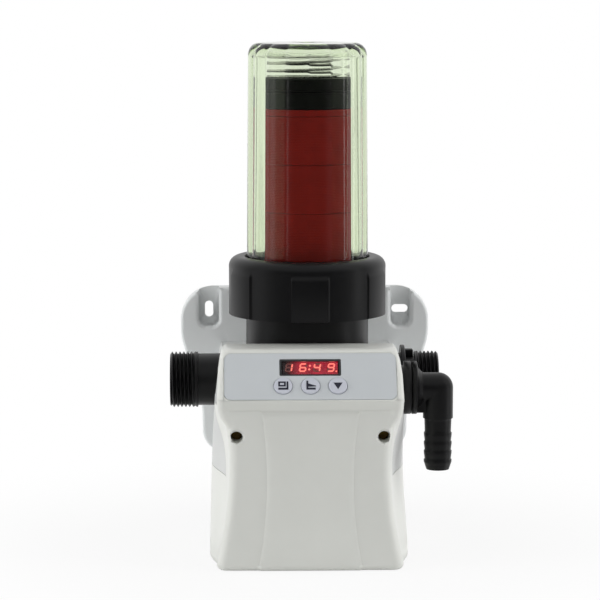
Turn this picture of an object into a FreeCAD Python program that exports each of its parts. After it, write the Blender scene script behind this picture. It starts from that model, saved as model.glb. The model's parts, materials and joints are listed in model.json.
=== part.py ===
"""Self-flushing disc filter for a water system, with a clock-timed drain valve.

A black manifold carries a clear ribbed bowl, held down by a lock nut. Water enters at the left
spigot, passes from outside to inside through a stack of grooved red discs and leaves at the right
spigot. At the set time a gear motor turns a ball valve, and the dirt leaves by the drain elbow.
Manifold, valve, motor and board sit in a two-part housing on a wall bracket with two ears.

The row frame is in millimetres: +X to the outlet, +Y to the wall, +Z up. The origin lies on the
bowl's axis, in the plane of the housing's underside.
"""
import FreeCAD, Part

import math
import os

from FreeCAD import Placement, Rotation, Vector

OUT = "parts"
X, Y, Z = Vector(1, 0, 0), Vector(0, 1, 0), Vector(0, 0, 1)

# ---------------------------------------------------------------- driving dimensions, millimetres
# main pipe through the manifold
PORT_Z = 99.5            # height of the pipe's axis
PIPE_R = 15.5            # outside of the smooth pipe
PIPE_BORE_R = 11.6
THREAD_R = 16.62         # G1 thread, major radius
THREAD_CHAMFER = 1.0
INLET_END_X = -82.0      # mouth of the inlet
INLET_THREAD_X = -65.2   # where its thread stops
OUTLET_END_X = 78.2
OUTLET_THREAD_X = 64.1
RELIEF_R = 13.8          # smooth neck behind the outlet's thread
SHOULDER_R = 20.35
SHOULDER_X = 55.8        # shoulders that stand against the housing
SHOULDER_T = 2.5
SOCKET_END_X = 46.0      # ends of the manifold's two sockets
SOCKET_R = 13.6          # where a spigot enters the manifold
SOCKET_DEPTH = 14.0
SOCKET_FIT = 0.05

# filter head and bowl
HEAD_R = 36.5            # black neck that shows under the lock nut
COLLAR_R = 40.6          # threaded collar that the nut grips
NECK_TOP_Z = 164.0       # rim that the bowl's flange sits on
COLLAR_Z = (NECK_TOP_Z - 21.0, NECK_TOP_Z - 3.0)
CHAMBER_R = 32.6
CHAMBER_FLOOR_Z = 120.0
CHAMBER_FLOOR_T = 4.0
HEAD_SKIRT_Z = 112.8     # the head's wall reaches below its floor, into the housing
COLUMN_R = 19.5
COLUMN_BORE_R = 15.0
COLUMN_FOOT_Z = 81.0
BOWL_TOP_Z = 300.5
BOWL_FOOT_R = 36.4       # over the ribs
BOWL_TOP_R = 35.5
BOWL_BORE_R = 32.2
BOWL_ROOF = 4.0
BOWL_RIBS = 16
BOWL_RIB_DEPTH = 0.9
BOWL_SHOULDER_R = 7.0
BOWL_FLANGE_R = 40.2
BOWL_FLANGE_T = 5.0
SEAL_GROOVE = 1.6        # depth and half width of the bowl's seal
SLIP_RING_T = 1.5
NUT_GAP = 0.4            # clearance of the nut on the collar, and over the bowl
NUT_BODY_R = 46.1
NUT_PAD_R = 47.2
NUT_PADS = 6
NUT_PAD_DEG = 27.0
NUT_PAD_TURN = 0.8       # the front pad's centre, to the right of straight ahead
NUT_FOOT_Z = NECK_TOP_Z - 24.3
NUT_RING_Z = NECK_TOP_Z + 3.5      # the recesses end here, under the smooth top ring
NUT_TOP_Z = NECK_TOP_Z + 10.1
NUT_ROUND = 6.0

# disc cartridge
DISC_R = 27.5
DISC_BORE_R = 18.0
DISC_BASE_Z = 144.4
DISC_PACKS = 4
DISC_PACK_T = 28.45
DISC_TOP_PACK_T = 4.0
CORE_R = 11.5
CORE_WALL = 2.0
CORE_RIBS = 8
CORE_RIB_R = 17.6
CORE_FLANGE_R = 24.0
CORE_FLANGE_T = 3.0
CORE_FOOT_H = 9.0
CLAMP_LOWER_H = 10.2
CLAMP_UPPER_H = 8.0
CLAMP_STEP = 0.7         # groove between the cap's two tiers
CLAMP_WALL = 3.0
CLAMP_GAP = 0.35
SPRING_R = 20.2          # mean radius of the coil
SPRING_WIRE = 1.6
SPRING_TURNS = 3
SPRING_STEPS = 20        # sections in one turn
SPRING_SEAT_T = 1.2      # depth of the spring's seat in the cap

# housing
WALL_T = 2.6
REAR_Y = 60.0            # back of the housing, front of the bracket
LIP_Y, LIP_Z = -82.0, 99.5        # lower edge of the sloping console face
BROW_Y, BROW_Z = -61.4, 124.8     # its upper edge
CONSOLE_TOP_Z = 126.4
CONSOLE_REAR_Y = -38.0
CONSOLE_FOOT_Z = 83.0    # where the console starts to grow out of the lower body
CONSOLE_HALF = 53.6      # half width of the console over most of its height
CONSOLE_ROUND = 4.0
CONSOLE_TOP_ROUND = 3.0
SECTION_STEP = 0.2       # least height between two of the console's sections
REAR_TOP_Z = 113.5       # height of the deck at its rear edge
BODY_TOP_Z = 93.0        # where the lower body meets console and rear block
SIDE_FOOT, SIDE_TOP = 58.2, 55.2              # half width of the straight rear sides
FACE_FOOT, FACE_WAIST, FACE_TOP = 54.9, 46.8, 51.2    # half width of the front face
WAIST_Z = 62.0
FACE_ROUND = 6.0
FRONT_FOOT_Y, FRONT_TOP_Y = -80.5, -77.0
FRONT_HOLLOW = 5.0
FOOT_ROUND = 3.2
DECK_SLOPE = 0.077       # the deck behind the console falls towards the wall
TONGUE_FOOT_Z = 50.0     # the back shell's side tongues fill notches in the cover
TONGUE_TOP_Z = 115.0
TONGUE_Y = -48.5
COVER_REAR_Y = 24.0
SEAM = 0.15              # half of the gap between cover and back shell
PAD_RISE = 0.9           # hour-glass pad on the cover's front
PAD_SLOPE_W = 1.8        # width of the sloping edge round it
PAD_TOP_Z = 92.4
PAD_HALVES = (30.8, 25.0, 28.3)   # half widths at its foot, waist and top
SCREW_X, SCREW_Z = 42.3, 77.5
SCREW_HOLE_R = 3.5
SCREW_SEAT_Y = -62.0     # floor of the deep screw holes
SCREW_HEAD_R = 3.1
SCREW_R = 1.9
SCREW_BOSS_R = 3.6
BUSH_FIT = 0.05

# control panel, in its own plane: u to the right, v up the slope, w outwards
PANEL_W, PANEL_H = 98.6, 30.6
PANEL_T = 1.2
PANEL_PROUD = 0.3
PANEL_CORNER = 4.0
WINDOW_W, WINDOW_H = 35.4, 11.2
WINDOW_V = 5.9
BUTTON_R = 5.3
BUTTON_PITCH = 15.7
BUTTON_V = -6.4
BUTTON_PROUD = 1.2
BUTTON_GAP = 0.3
BUTTON_SKIRT = 0.6       # flange that keeps a button in the panel
BUTTON_TRAVEL = 0.6
PLUNGER_R = 1.7
BOARD_W, BOARD_H, BOARD_T = 84.0, 25.0, 1.6
BOARD_POS = -10.0        # front face of the board, along w
POST_R = 2.6

# drain branch
DRAIN_Y = -36.5
DRAIN_Z = 100.0
DUCT_X, DUCT_Y, DUCT_R = 5.0, -27.2, 5.2      # way from the chamber's floor to the valve
DUCT_WALL = 3.3
DUCT_BOSS_R = 12.6
DUCT_BOSS_X = (-18.0, 16.0)
VALVE_R = 13.0
VALVE_FOOT_X = 4.0
VALVE_SPIGOT_R = 10.4
VALVE_MOUTH_X = 59.9
VALVE_FLANGE_R = 15.6
VALVE_FLANGE_T = 4.1
VALVE_BORE_R = 6.3
VALVE_CAVITY_R = 10.5
BALL_X = 30.0
BALL_R = 9.6
BALL_GAP = 0.05
SEAT_T = 4.0
SPIGOT_GAP = 0.08
ELBOW_SPIGOT_X = 46.5
ELBOW_RING_X = 60.4
ELBOW_RING_T = 3.0
ELBOW_CONE_X = 67.0
ELBOW_LEG_X = 76.0       # axis of the leg that points down
ELBOW_R = 8.8
ELBOW_BORE_R = 5.4
ELBOW_WEB_T = 9.0        # web that fills the inner corner under the cone
ELBOW_WEB_Z = 85.6
ELBOW_STEP_Z = 82.0
BARB_FOOT_Z = 51.4
BARB_ROOT_R = 7.7
BARB_R = 8.2
BARB_TOP_Z = 73.2        # upper edge of the first barb
BARB_PITCH = 5.35
BARBS = 4
BARB_LAND = 1.2
CLIP_T = 1.6
CLIP_GAP = 0.3
CLIP_X = 57.1
CLIP_GROOVE_R = 9.2

# valve drive
STEM_R = 3.0
STEM_GAP = 0.08
STEM_FOOT_Z = 65.2
STEM_BOSS_R = 5.8
STEM_BOSS_Z = 75.0
GEAR_MODULE = 1.0
GEAR_TEETH = 36
PINION_TEETH = 12
GEAR_Z, GEAR_T = 66.0, 5.0
PRESSURE_DEG = 20.0
BACKLASH = 0.3
FRAME_Z, FRAME_T = 60.0, 2.5
FRAME_LUGS = ((-15.0, -8.0), (40.0, -9.0), (-16.0, -38.0))
LUG_R = 4.0
GEARBOX_R, GEARBOX_H = 18.5, 20.0
MOTOR_R, MOTOR_H = 12.5, 24.0
SHAFT_R = 2.0

# wall bracket
WALL_Y = 72.0
BRACKET_WALL = 3.0
EAR_X, EAR_TOP_Z = 77.0, 147.4
EAR_ROUND = 20.0
BRACKET_FOOT_Z = 44.0
SLOT_X, SLOT_Z = 59.5, 133.0
SLOT_LEN, SLOT_W = 10.2, 5.2
POCKET_HALF = 6.2
POCKET_FOOT_Z = 122.9
POCKET_DEPTH = 9.0
BRACKET_SCREWS = ((-42.0, 62.0), (42.0, 62.0), (-46.0, 104.0), (46.0, 104.0))

# power inlet in the back shell's right side
JACK_Y, JACK_Z = 42.0, 24.0
JACK_R = 5.6
JACK_NUT_R = 7.6
JACK_BORE_R = 3.0
JACK_DEPTH = 9.5
JACK_WALL = 5.4          # thickness of the housing's wall round the jack


# ---------------------------------------------------------------- small tools
def rod(r, a, b):
    """A cylinder of radius r from point a to point b."""
    a, b = Vector(*a), Vector(*b)
    return Part.makeCylinder(r, (b - a).Length, a, b - a)


def tube(r_out, r_in, a, b):
    return rod(r_out, a, b).cut(rod(r_in, a, b))


def block(x, y, z):
    """A box between the pairs of limits x, y and z."""
    size = [max(pair) - min(pair) for pair in (x, y, z)]
    return Part.makeBox(*size, Vector(min(x), min(y), min(z)))


def polygon(points):
    points = [Vector(*p) for p in points]
    return Part.makePolygon(points + points[:1])


def turned(points):
    """A solid of revolution about Z from corner points (radius, height)."""
    face = Part.Face(polygon([(r, 0, z) for r, z in points]))
    return face.revolve(Vector(), Z, 360)


def turned_along_x(points, y, z):
    """A solid of revolution about the line through (y, z) along X, from points (radius, x)."""
    face = Part.Face(polygon([(x, y, z + r) for r, x in points]))
    return face.revolve(Vector(0, y, z), X, 360)


def rounded(corners, plane=lambda a, b: Vector(a, b, 0)):
    """A closed wire through corners (a, b, radius), each corner an arc tangent to its sides."""
    points = [Vector(a, b, 0) for a, b, _ in corners]
    count = len(points)
    edges, starts, ends, middles = [], [], [], []
    for i, (_, _, r) in enumerate(corners):
        here, before, after = points[i], points[i - 1], points[(i + 1) % count]
        u, v = (before - here).normalize(), (after - here).normalize()
        half = u.getAngle(v) / 2
        reach = r / math.tan(half)
        bisector = (u + v).normalize()
        centre = here + bisector * (r / math.sin(half))
        starts.append(here + u * reach)
        ends.append(here + v * reach)
        middles.append(centre - bisector * r)
    for i, (_, _, r) in enumerate(corners):
        if r > 0:
            arc = [plane(p.x, p.y) for p in (starts[i], middles[i], ends[i])]
            edges.append(Part.Arc(*arc).toShape())
        a, b = ends[i], starts[(i + 1) % count]
        if (b - a).Length > 1e-6:
            edges.append(Part.LineSegment(plane(a.x, a.y), plane(b.x, b.y)).toShape())
    return Part.Wire(edges)


def prism(wire, vector):
    return Part.Face(wire).extrude(vector)


def fuse(first, *others):
    return first.fuse(list(others)).removeSplitter()


def mirrored(shape):
    return shape.mirror(Vector(), X)


def both_sides(shape):
    """The shape and its mirror image across the YZ plane."""
    return [shape, mirrored(shape)]


def save(name, *solids):
    found = [s for shape in solids for s in shape.Solids]
    shape = found[0] if len(found) == 1 else Part.makeCompound(found)
    if not shape.isValid() or not found:
        raise ValueError(f"{name} isn't a valid solid")
    shape.exportStep(os.path.join(OUT, name + ".step"))


# ---------------------------------------------------------------- sloping console face
PANEL_TILT = math.atan2(BROW_Y - LIP_Y, BROW_Z - LIP_Z)
PANEL_CENTRE = Vector(0, (LIP_Y + BROW_Y) / 2, (LIP_Z + BROW_Z) / 2)
PANEL_PLACE = Placement(PANEL_CENTRE, Rotation(X, 90 - math.degrees(PANEL_TILT)))


def on_panel(shape):
    """Moves a shape modelled in the panel's plane (u, v, w) to the console."""
    moved = shape.copy()
    moved.Placement = PANEL_PLACE.multiply(moved.Placement)
    return moved


def panel_plate(width, height, corner, w0, w1, v=0.0):
    half_w, half_h = width / 2, height / 2
    wire = rounded([(-half_w, v - half_h, corner), (half_w, v - half_h, corner),
                    (half_w, v + half_h, corner), (-half_w, v + half_h, corner)])
    plate = prism(wire, Vector(0, 0, w1 - w0))
    plate.translate(Vector(0, 0, w0))
    return on_panel(plate)


BUTTON_US = [-BUTTON_PITCH, 0.0, BUTTON_PITCH]


# ---------------------------------------------------------------- housing form
def face_half(z):
    """Half width of the front face at height z: waisted, widest at the foot."""
    if z < WAIST_Z:
        return FACE_WAIST + (FACE_FOOT - FACE_WAIST) * ((WAIST_Z - z) / WAIST_Z) ** 2
    return FACE_WAIST + (FACE_TOP - FACE_WAIST) * ((z - WAIST_Z) / (BODY_TOP_Z - WAIST_Z)) ** 2


def body_section(z, inset):
    """Plan outline of the lower body at height z: flat front, scooped flanks, straight rear sides.

    The scoop reaches furthest back at mid height, where the front face is narrowest.
    """
    share = min(1.0, max(0.0, z / BODY_TOP_Z))
    hollow = math.sin(math.pi * share)
    side = side_half(z) - inset
    front = FRONT_FOOT_Y + (FRONT_TOP_Y - FRONT_FOOT_Y) * share + FRONT_HOLLOW * hollow + inset
    r = FACE_ROUND - 0.5 * inset
    face = face_half(z) - 0.9 * inset
    flank_y = front + r
    side_end = -44.0 + 42.0 * hollow ** 1.5
    reach = side_end - flank_y
    rear = REAR_Y + 9.0
    flank = [(face, flank_y), (face, flank_y + 0.45 * reach),
             (side, side_end - 0.4 * reach), (side, side_end)]
    bow = r * (1 - math.sqrt(0.5))
    edges = [Part.LineSegment(Vector(-face + r, front, z), Vector(face - r, front, z)).toShape(),
             Part.Arc(Vector(face - r, front, z), Vector(face - bow, front + bow, z),
                      Vector(face, flank_y, z)).toShape(),
             bezier([Vector(x, y, z) for x, y in flank]),
             Part.LineSegment(Vector(side, side_end, z), Vector(side, rear, z)).toShape(),
             Part.LineSegment(Vector(side, rear, z), Vector(-side, rear, z)).toShape(),
             Part.LineSegment(Vector(-side, rear, z), Vector(-side, side_end, z)).toShape(),
             bezier([Vector(-x, y, z) for x, y in reversed(flank)]),
             Part.Arc(Vector(-face, flank_y, z), Vector(-face + bow, front + bow, z),
                      Vector(-face + r, front, z)).toShape()]
    return Part.Wire(edges)


def bezier(poles):
    curve = Part.BezierCurve()
    curve.setPoles(poles)
    return curve.toShape()


def slab_section(z, half, front, rear, corner):
    """Plan outline of a block: rounded front corners, nearly square rear ones."""
    wire = rounded([(-half, rear, 0.0), (-half, front, corner), (half, front, corner),
                    (half, rear, 0.0)])
    wire.translate(Vector(0, 0, z))
    return wire


def side_half(z):
    """Half width of the straight rear sides at height z."""
    share = min(1.0, max(0.0, z / BODY_TOP_Z))
    return SIDE_FOOT + (SIDE_TOP - SIDE_FOOT) * share ** 2


def console_levels():
    """Height, half width and front of the console: it swells out, slopes back, and rounds over."""
    slope = (BROW_Y - LIP_Y) / (BROW_Z - LIP_Z)
    middle = (LIP_Z + BROW_Z) / 2
    shoulder = BROW_Z - 5.0
    top_half = CONSOLE_HALF - CONSOLE_TOP_ROUND
    return [(CONSOLE_FOOT_Z, CONSOLE_HALF - 5.4, LIP_Y + 6.6),
            (CONSOLE_FOOT_Z + 3.0, CONSOLE_HALF - 3.4, LIP_Y + 6.2),
            (CONSOLE_FOOT_Z + 6.0, CONSOLE_HALF - 1.2, LIP_Y + 5.8),
            (BODY_TOP_Z + 0.3, CONSOLE_HALF - 0.1, LIP_Y + 5.0),
            (LIP_Z, CONSOLE_HALF, LIP_Y),
            (middle, CONSOLE_HALF - 0.4, (LIP_Y + BROW_Y) / 2),
            (shoulder, CONSOLE_HALF - 1.5, BROW_Y - (BROW_Z - shoulder) * slope),
            (BROW_Z, top_half, BROW_Y),
            (BROW_Z + 1.0, top_half - 1.0, BROW_Y + 1.3),
            (CONSOLE_TOP_Z, top_half - 2.6, BROW_Y + 3.4)]


def console_form(inset):
    """The console in front of the bowl's neck, under-cut below its sloping face."""
    rear = CONSOLE_REAR_Y - inset
    lift = inset / math.cos(PANEL_TILT)
    levels = console_levels()
    sections = []
    for i, (z, half, front) in enumerate(levels):
        depth = lift if z >= LIP_Z else inset
        below_top = SECTION_STEP * (len(levels) - 1 - i)
        height = min(z, CONSOLE_TOP_Z - inset - below_top)
        sections.append(slab_section(height, half - inset, front + depth, rear, CONSOLE_ROUND))
    return Part.makeLoft(sections, True, True)


def deck_z(y):
    """Height of the deck's top face at y."""
    return REAR_TOP_Z + (REAR_Y - y) * DECK_SLOPE


def rear_form(inset):
    """The housing beside and behind the neck, under a deck that falls towards the wall."""
    front, rear = CONSOLE_REAR_Y - 8.0, REAR_Y + 9.0
    sections = [slab_section(BODY_TOP_Z - 4.0, side_half(BODY_TOP_Z - 4.0) - inset, front, rear, 0.0),
                slab_section(REAR_TOP_Z - 4.0, SIDE_TOP - 2.2 - inset, front, rear, 0.0),
                slab_section(REAR_TOP_Z + 12.0, SIDE_TOP - 6.4 - inset, front, rear, 0.0)]
    block_form = Part.makeLoft(sections, True, True)
    side = polygon([(-90, front - 1, 0), (-90, rear + 1, 0), (-90, rear + 1, deck_z(rear + 1) - inset),
                    (-90, front - 1, deck_z(front - 1) - inset)])
    return block_form.common(prism(side, Vector(180, 0, 0)))


def housing_form(inset):
    """The whole housing as one closed form, every face moved in by inset; its foot is round outside."""
    body = body_loft(inset)
    room = block((-90, 90), (-120, REAR_Y - inset), (inset, 200))
    form = body.fuse([console_form(inset), rear_form(inset)]).common(room)
    if inset > 0.0:
        return form
    foot = [e for e in form.Edges if e.BoundBox.ZMax < 0.05 and e.BoundBox.YMin < REAR_Y - 0.5]
    return form.makeFillet(FOOT_ROUND, foot)


def body_loft(inset):
    """The lower body as a loft through its plan outlines: smooth outside, ruled inside."""
    heights = [-6.0, 8.0, 24.0, 42.0, 58.0, 74.0, BODY_TOP_Z - 4.0, BODY_TOP_Z]
    return Part.makeLoft([body_section(z, inset) for z in heights], True, inset > 0.0)


def pad_form(outer):
    """Hour-glass pad: the housing's own front brought forward, with a sloping rim; halves mirrored."""
    foot_z = -2.0
    levels = zip((foot_z, 0.6 * PAD_TOP_Z, PAD_TOP_Z), PAD_HALVES)
    flank = Part.Arc(*[Vector(x, 0, z) for z, x in levels]).toShape()
    square = Part.makePolygon([flank.Vertexes[1].Point, Vector(0, 0, PAD_TOP_Z), Vector(0, 0, foot_z),
                               flank.Vertexes[0].Point])
    curtain = prism(Part.Wire([flank] + square.Edges), Vector(0, -100, 0))
    forward = outer.copy()
    forward.translate(Vector(0, -PAD_RISE, 0))
    right = curtain.common(forward)
    rim = []
    for edge in right.Edges:
        box = edge.BoundBox
        on_flank = box.XMin > 1.0 and box.ZLength > 1.0
        on_top = box.ZMin > PAD_TOP_Z - 0.1
        if box.YMax < FRONT_TOP_Y + 9.0 and (on_flank or on_top):
            rim.append(edge)
    right = right.makeChamfer(PAD_RISE - 0.1, PAD_SLOPE_W, rim)
    left = right.mirror(Vector(), X)
    return right.fuse(left)


def sector(r_in, r_out, z0, z1, start_deg, sweep_deg):
    """Part of a ring between two radii, from start_deg through sweep_deg."""
    face = Part.Face(polygon([(r_in, 0, z0), (r_out, 0, z0), (r_out, 0, z1), (r_in, 0, z1)]))
    piece = face.revolve(Vector(), Z, sweep_deg)
    piece.rotate(Vector(), Z, start_deg)
    return piece


def ring_of(shape, count, centre=Vector()):
    """Copies of a shape, evenly spaced round Z."""
    copies = []
    for i in range(count):
        copy = shape.copy()
        copy.rotate(centre, Z, 360.0 * i / count)
        copies.append(copy)
    return copies


# ---------------------------------------------------------------- housing: cover and back shell
def back_region(shift):
    """Where the back shell is: behind the cover, with side tongues in the cover's notches."""
    rear = block((-90, 90), (COVER_REAR_Y + shift, 90), (-9, TONGUE_FOOT_Z + 9))
    deck = block((-90, 90), (CONSOLE_REAR_Y + shift, 90), (TONGUE_FOOT_Z + shift, 140))
    tongues = block((-90, 90), (TONGUE_Y + shift, 0), (TONGUE_FOOT_Z + shift, TONGUE_TOP_Z - shift))
    return rear.fuse([deck, tongues])


def shoulder_bosses(form):
    """Thicker wall on the right side, where the two shoulders are let into the housing."""
    outlet = rod(SHOULDER_R + 2.0, (SHOULDER_X - WALL_T, 0, PORT_Z), (75, 0, PORT_Z))
    drain = rod(VALVE_FLANGE_R + 2.0, (SHOULDER_X - WALL_T, DRAIN_Y, DRAIN_Z), (75, DRAIN_Y, DRAIN_Z))
    return outlet.fuse(drain).common(form)


def pipe_openings():
    """What is cut from the housing for the neck, the two pipes and the drain valve."""
    gap = 0.4
    return [
        rod(HEAD_R + gap, (0, 0, 90), (0, 0, 140)),
        rod(PIPE_R + gap, (-80, 0, PORT_Z), (-40, 0, PORT_Z)),
        rod(PIPE_R + gap, (40, 0, PORT_Z), (80, 0, PORT_Z)),
        rod(SHOULDER_R + gap, (SHOULDER_X - 0.05, 0, PORT_Z), (80, 0, PORT_Z)),
        rod(VALVE_R + gap, (40, DRAIN_Y, DRAIN_Z), (80, DRAIN_Y, DRAIN_Z)),
        rod(VALVE_FLANGE_R + gap, (SHOULDER_X - 0.05, DRAIN_Y, DRAIN_Z), (80, DRAIN_Y, DRAIN_Z)),
    ]


def housing_shell():
    outer = housing_form(0.0)
    shell = outer.cut(housing_form(WALL_T))
    shell = shell.fuse(shoulder_bosses(outer))
    return shell.cut(pipe_openings())


def screw_tunnel(x):
    """Blind tube behind a screw hole, from the cover's front to the screw's seat."""
    front = housing_form(0.0)
    tube_body = rod(SCREW_HOLE_R + 1.8, (x, -95, SCREW_Z), (x, SCREW_SEAT_Y + 2.4, SCREW_Z))
    return tube_body.common(front)


def screw_cut(x):
    hole = rod(SCREW_HOLE_R, (x, -95, SCREW_Z), (x, SCREW_SEAT_Y, SCREW_Z))
    return hole.fuse(rod(SCREW_R + BUSH_FIT, (x, -95, SCREW_Z), (x, -40, SCREW_Z)))


def control_posts():
    """Four posts behind the console's sloping face, which carry the control board."""
    half_w, half_h = BOARD_W / 2 - 3.5, BOARD_H / 2 - 3.5
    posts = []
    for u in (-half_w, half_w):
        for v in (-half_h, half_h):
            posts.append(on_panel(rod(POST_R, (u, v, -PANEL_T - WALL_T - 0.6), (u, v, BOARD_POS))))
    return posts


def front_cover(shell, outer):
    """White cover: console on top, waisted body below, hour-glass pad on its front."""
    cover = shell.cut(back_region(-SEAM))
    pad = pad_form(outer).cut(housing_form(WALL_T / 2))
    tunnels = [screw_tunnel(x) for x in (-SCREW_X, SCREW_X)]
    cover = cover.fuse([pad] + tunnels + control_posts())
    seat = panel_plate(PANEL_W + 0.3, PANEL_H + 0.3, PANEL_CORNER + 0.15, -PANEL_T + PANEL_PROUD, 9)
    window = panel_plate(WINDOW_W + 6.0, WINDOW_H + 1.6, 1.5, -9.0, 2, WINDOW_V)
    cuts = [seat, window]
    for u in BUTTON_US:
        cuts.append(on_panel(rod(BUTTON_R + BUTTON_SKIRT + 0.5, (u, BUTTON_V, -9), (u, BUTTON_V, 2))))
    cuts += [screw_cut(x) for x in (-SCREW_X, SCREW_X)]
    return largest(cover.cut(cuts))


def largest(shape):
    """The biggest solid of a cut, without loose slivers."""
    return max(shape.Solids, key=lambda solid: solid.Volume)


def cradle(x):
    """Rib of the back shell, with a half-round seat for the main pipe."""
    rib = block((x, x + 3.0), (-4.0, REAR_Y - 1.0), (72.0, PORT_Z))
    return rib.cut(rod(PIPE_R + SOCKET_FIT, (-60, 0, PORT_Z), (60, 0, PORT_Z)))


def screw_boss(x):
    """Boss on a tongue's inner side, which takes a cover screw."""
    side = math.copysign(1.0, x)
    front = SCREW_SEAT_Y + 2.5
    boss = rod(SCREW_BOSS_R, (x, front, SCREW_Z), (x, -26.0, SCREW_Z))
    web = block((x, side * SIDE_FOOT), (TONGUE_Y + 2.0, -28.0), (SCREW_Z - 1.5, SCREW_Z + 1.5))
    return boss.fuse(web)


def rear_shell(shell, outer):
    """Grey back shell: back wall, deck round the neck, and side tongues with the pipe holes."""
    back = shell.common(back_region(SEAM))
    inside = housing_form(WALL_T / 2)
    ribs = [cradle(x).common(inside) for x in (-38.0, 35.0)]
    bosses = [screw_boss(x) for x in (-SCREW_X, SCREW_X)]
    bosses = [boss.common(inside.fuse(block((-50, 50), (-62, -40), (70, 85)))) for boss in bosses]
    face = jack_face()
    jack = rod(JACK_NUT_R + 2.4, (face - JACK_WALL, JACK_Y, JACK_Z), (90, JACK_Y, JACK_Z)).common(outer)
    back = back.fuse(ribs + bosses + [jack])
    neck = rod(HEAD_R + 0.4, (0, 0, 100), (0, 0, 140))
    cuts = [neck, rod(JACK_NUT_R + 0.1, (face - 1.2, JACK_Y, JACK_Z), (90, JACK_Y, JACK_Z)),
            rod(JACK_R + 0.05, (40, JACK_Y, JACK_Z), (90, JACK_Y, JACK_Z))]
    for x in (-SCREW_X, SCREW_X):
        cuts.append(rod(SCREW_R, (x, -70, SCREW_Z), (x, -30, SCREW_Z)))
    for x, z in BRACKET_SCREWS:
        cuts.append(rod(SCREW_R + 0.3, (x, 40, z), (x, 90, z)))
    return largest(back.cut(cuts))


def cover_screw(x):
    shank = rod(SCREW_R, (x, SCREW_SEAT_Y - 1.0, SCREW_Z), (x, SCREW_SEAT_Y + 24.0, SCREW_Z))
    head = rod(SCREW_HEAD_R, (x, SCREW_SEAT_Y - 2.4, SCREW_Z), (x, SCREW_SEAT_Y - 0.01, SCREW_Z))
    return fuse(head, shank)


# ---------------------------------------------------------------- control panel
def facia_panel():
    plate = panel_plate(PANEL_W, PANEL_H, PANEL_CORNER, -PANEL_T + PANEL_PROUD, PANEL_PROUD)
    cuts = [panel_plate(WINDOW_W, WINDOW_H, 0.8, -9, 9, WINDOW_V)]
    for u in BUTTON_US:
        cuts.append(on_panel(rod(BUTTON_R + BUTTON_GAP, (u, BUTTON_V, -9), (u, BUTTON_V, 9))))
    return plate.cut(cuts)


def display_window():
    """Dark pane in the panel, with a rim behind it that rests against the panel's rear."""
    pane = panel_plate(WINDOW_W - 0.1, WINDOW_H - 0.1, 0.8, -PANEL_T, PANEL_PROUD - 0.2, WINDOW_V)
    rim_top = -PANEL_T + PANEL_PROUD - 0.01
    rim = panel_plate(WINDOW_W + 3.0, WINDOW_H + 1.2, 1.2, -PANEL_T - 0.6, rim_top, WINDOW_V)
    return fuse(pane, rim)


def led_display():
    """Display module on the board: case, four slanted digits' faces and a pin row."""
    front = -PANEL_T - 0.65
    case = panel_plate(32.0, 10.0, 0.5, BOARD_POS + 0.01, front, WINDOW_V)
    return case


def button(u):
    """Round cap with a skirt under the panel and a stem to its switch."""
    cap = rod(BUTTON_R, (u, BUTTON_V, -3.0), (u, BUTTON_V, BUTTON_PROUD))
    edge = [e for e in cap.Edges if abs(e.CenterOfMass.z - BUTTON_PROUD) < 1e-6]
    cap = cap.makeChamfer(0.4, edge)
    skirt_top = -PANEL_T + PANEL_PROUD - 0.05
    skirt = rod(BUTTON_R + BUTTON_SKIRT, (u, BUTTON_V, -3.0), (u, BUTTON_V, skirt_top))
    stem = rod(1.9, (u, BUTTON_V, -5.0), (u, BUTTON_V, -3.0))
    return on_panel(fuse(cap, skirt, stem))


def switch_plunger(u):
    return on_panel(rod(PLUNGER_R, (u, BUTTON_V, -8.6), (u, BUTTON_V, -5.0)))


def tact_switch(u):
    """Switch case on the board, open in front for its plunger."""
    half = 3.0
    corners = [(u - half, BUTTON_V - half, 0.4), (u + half, BUTTON_V - half, 0.4),
               (u + half, BUTTON_V + half, 0.4), (u - half, BUTTON_V + half, 0.4)]
    case = prism(rounded(corners), Vector(0, 0, 3.4))
    case.translate(Vector(0, 0, BOARD_POS + 0.01))
    well = rod(PLUNGER_R + 0.1, (u, BUTTON_V, -9.4), (u, BUTTON_V, -5))
    return on_panel(case.cut(well))


def control_board():
    board = panel_plate(BOARD_W, BOARD_H, 1.0, BOARD_POS - BOARD_T, BOARD_POS)
    cell = on_panel(rod(5.0, (-30, 0, BOARD_POS - BOARD_T - 3.2), (-30, 0, BOARD_POS - BOARD_T)))
    relay = panel_plate(12.0, 9.0, 0.4, BOARD_POS - BOARD_T - 7.0, BOARD_POS - BOARD_T)
    return fuse(board, cell, relay)


# ---------------------------------------------------------------- filter head
def chamber_ports(z0, z1):
    """The two ways through the chamber's floor: the inlet's riser and the drain's duct."""
    riser = sector(COLUMN_R + 2.5, CHAMBER_R, z0, z1, 162, 36)
    return [riser, rod(DUCT_R, (DUCT_X, DUCT_Y, z0), (DUCT_X, DUCT_Y, z1))]


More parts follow.
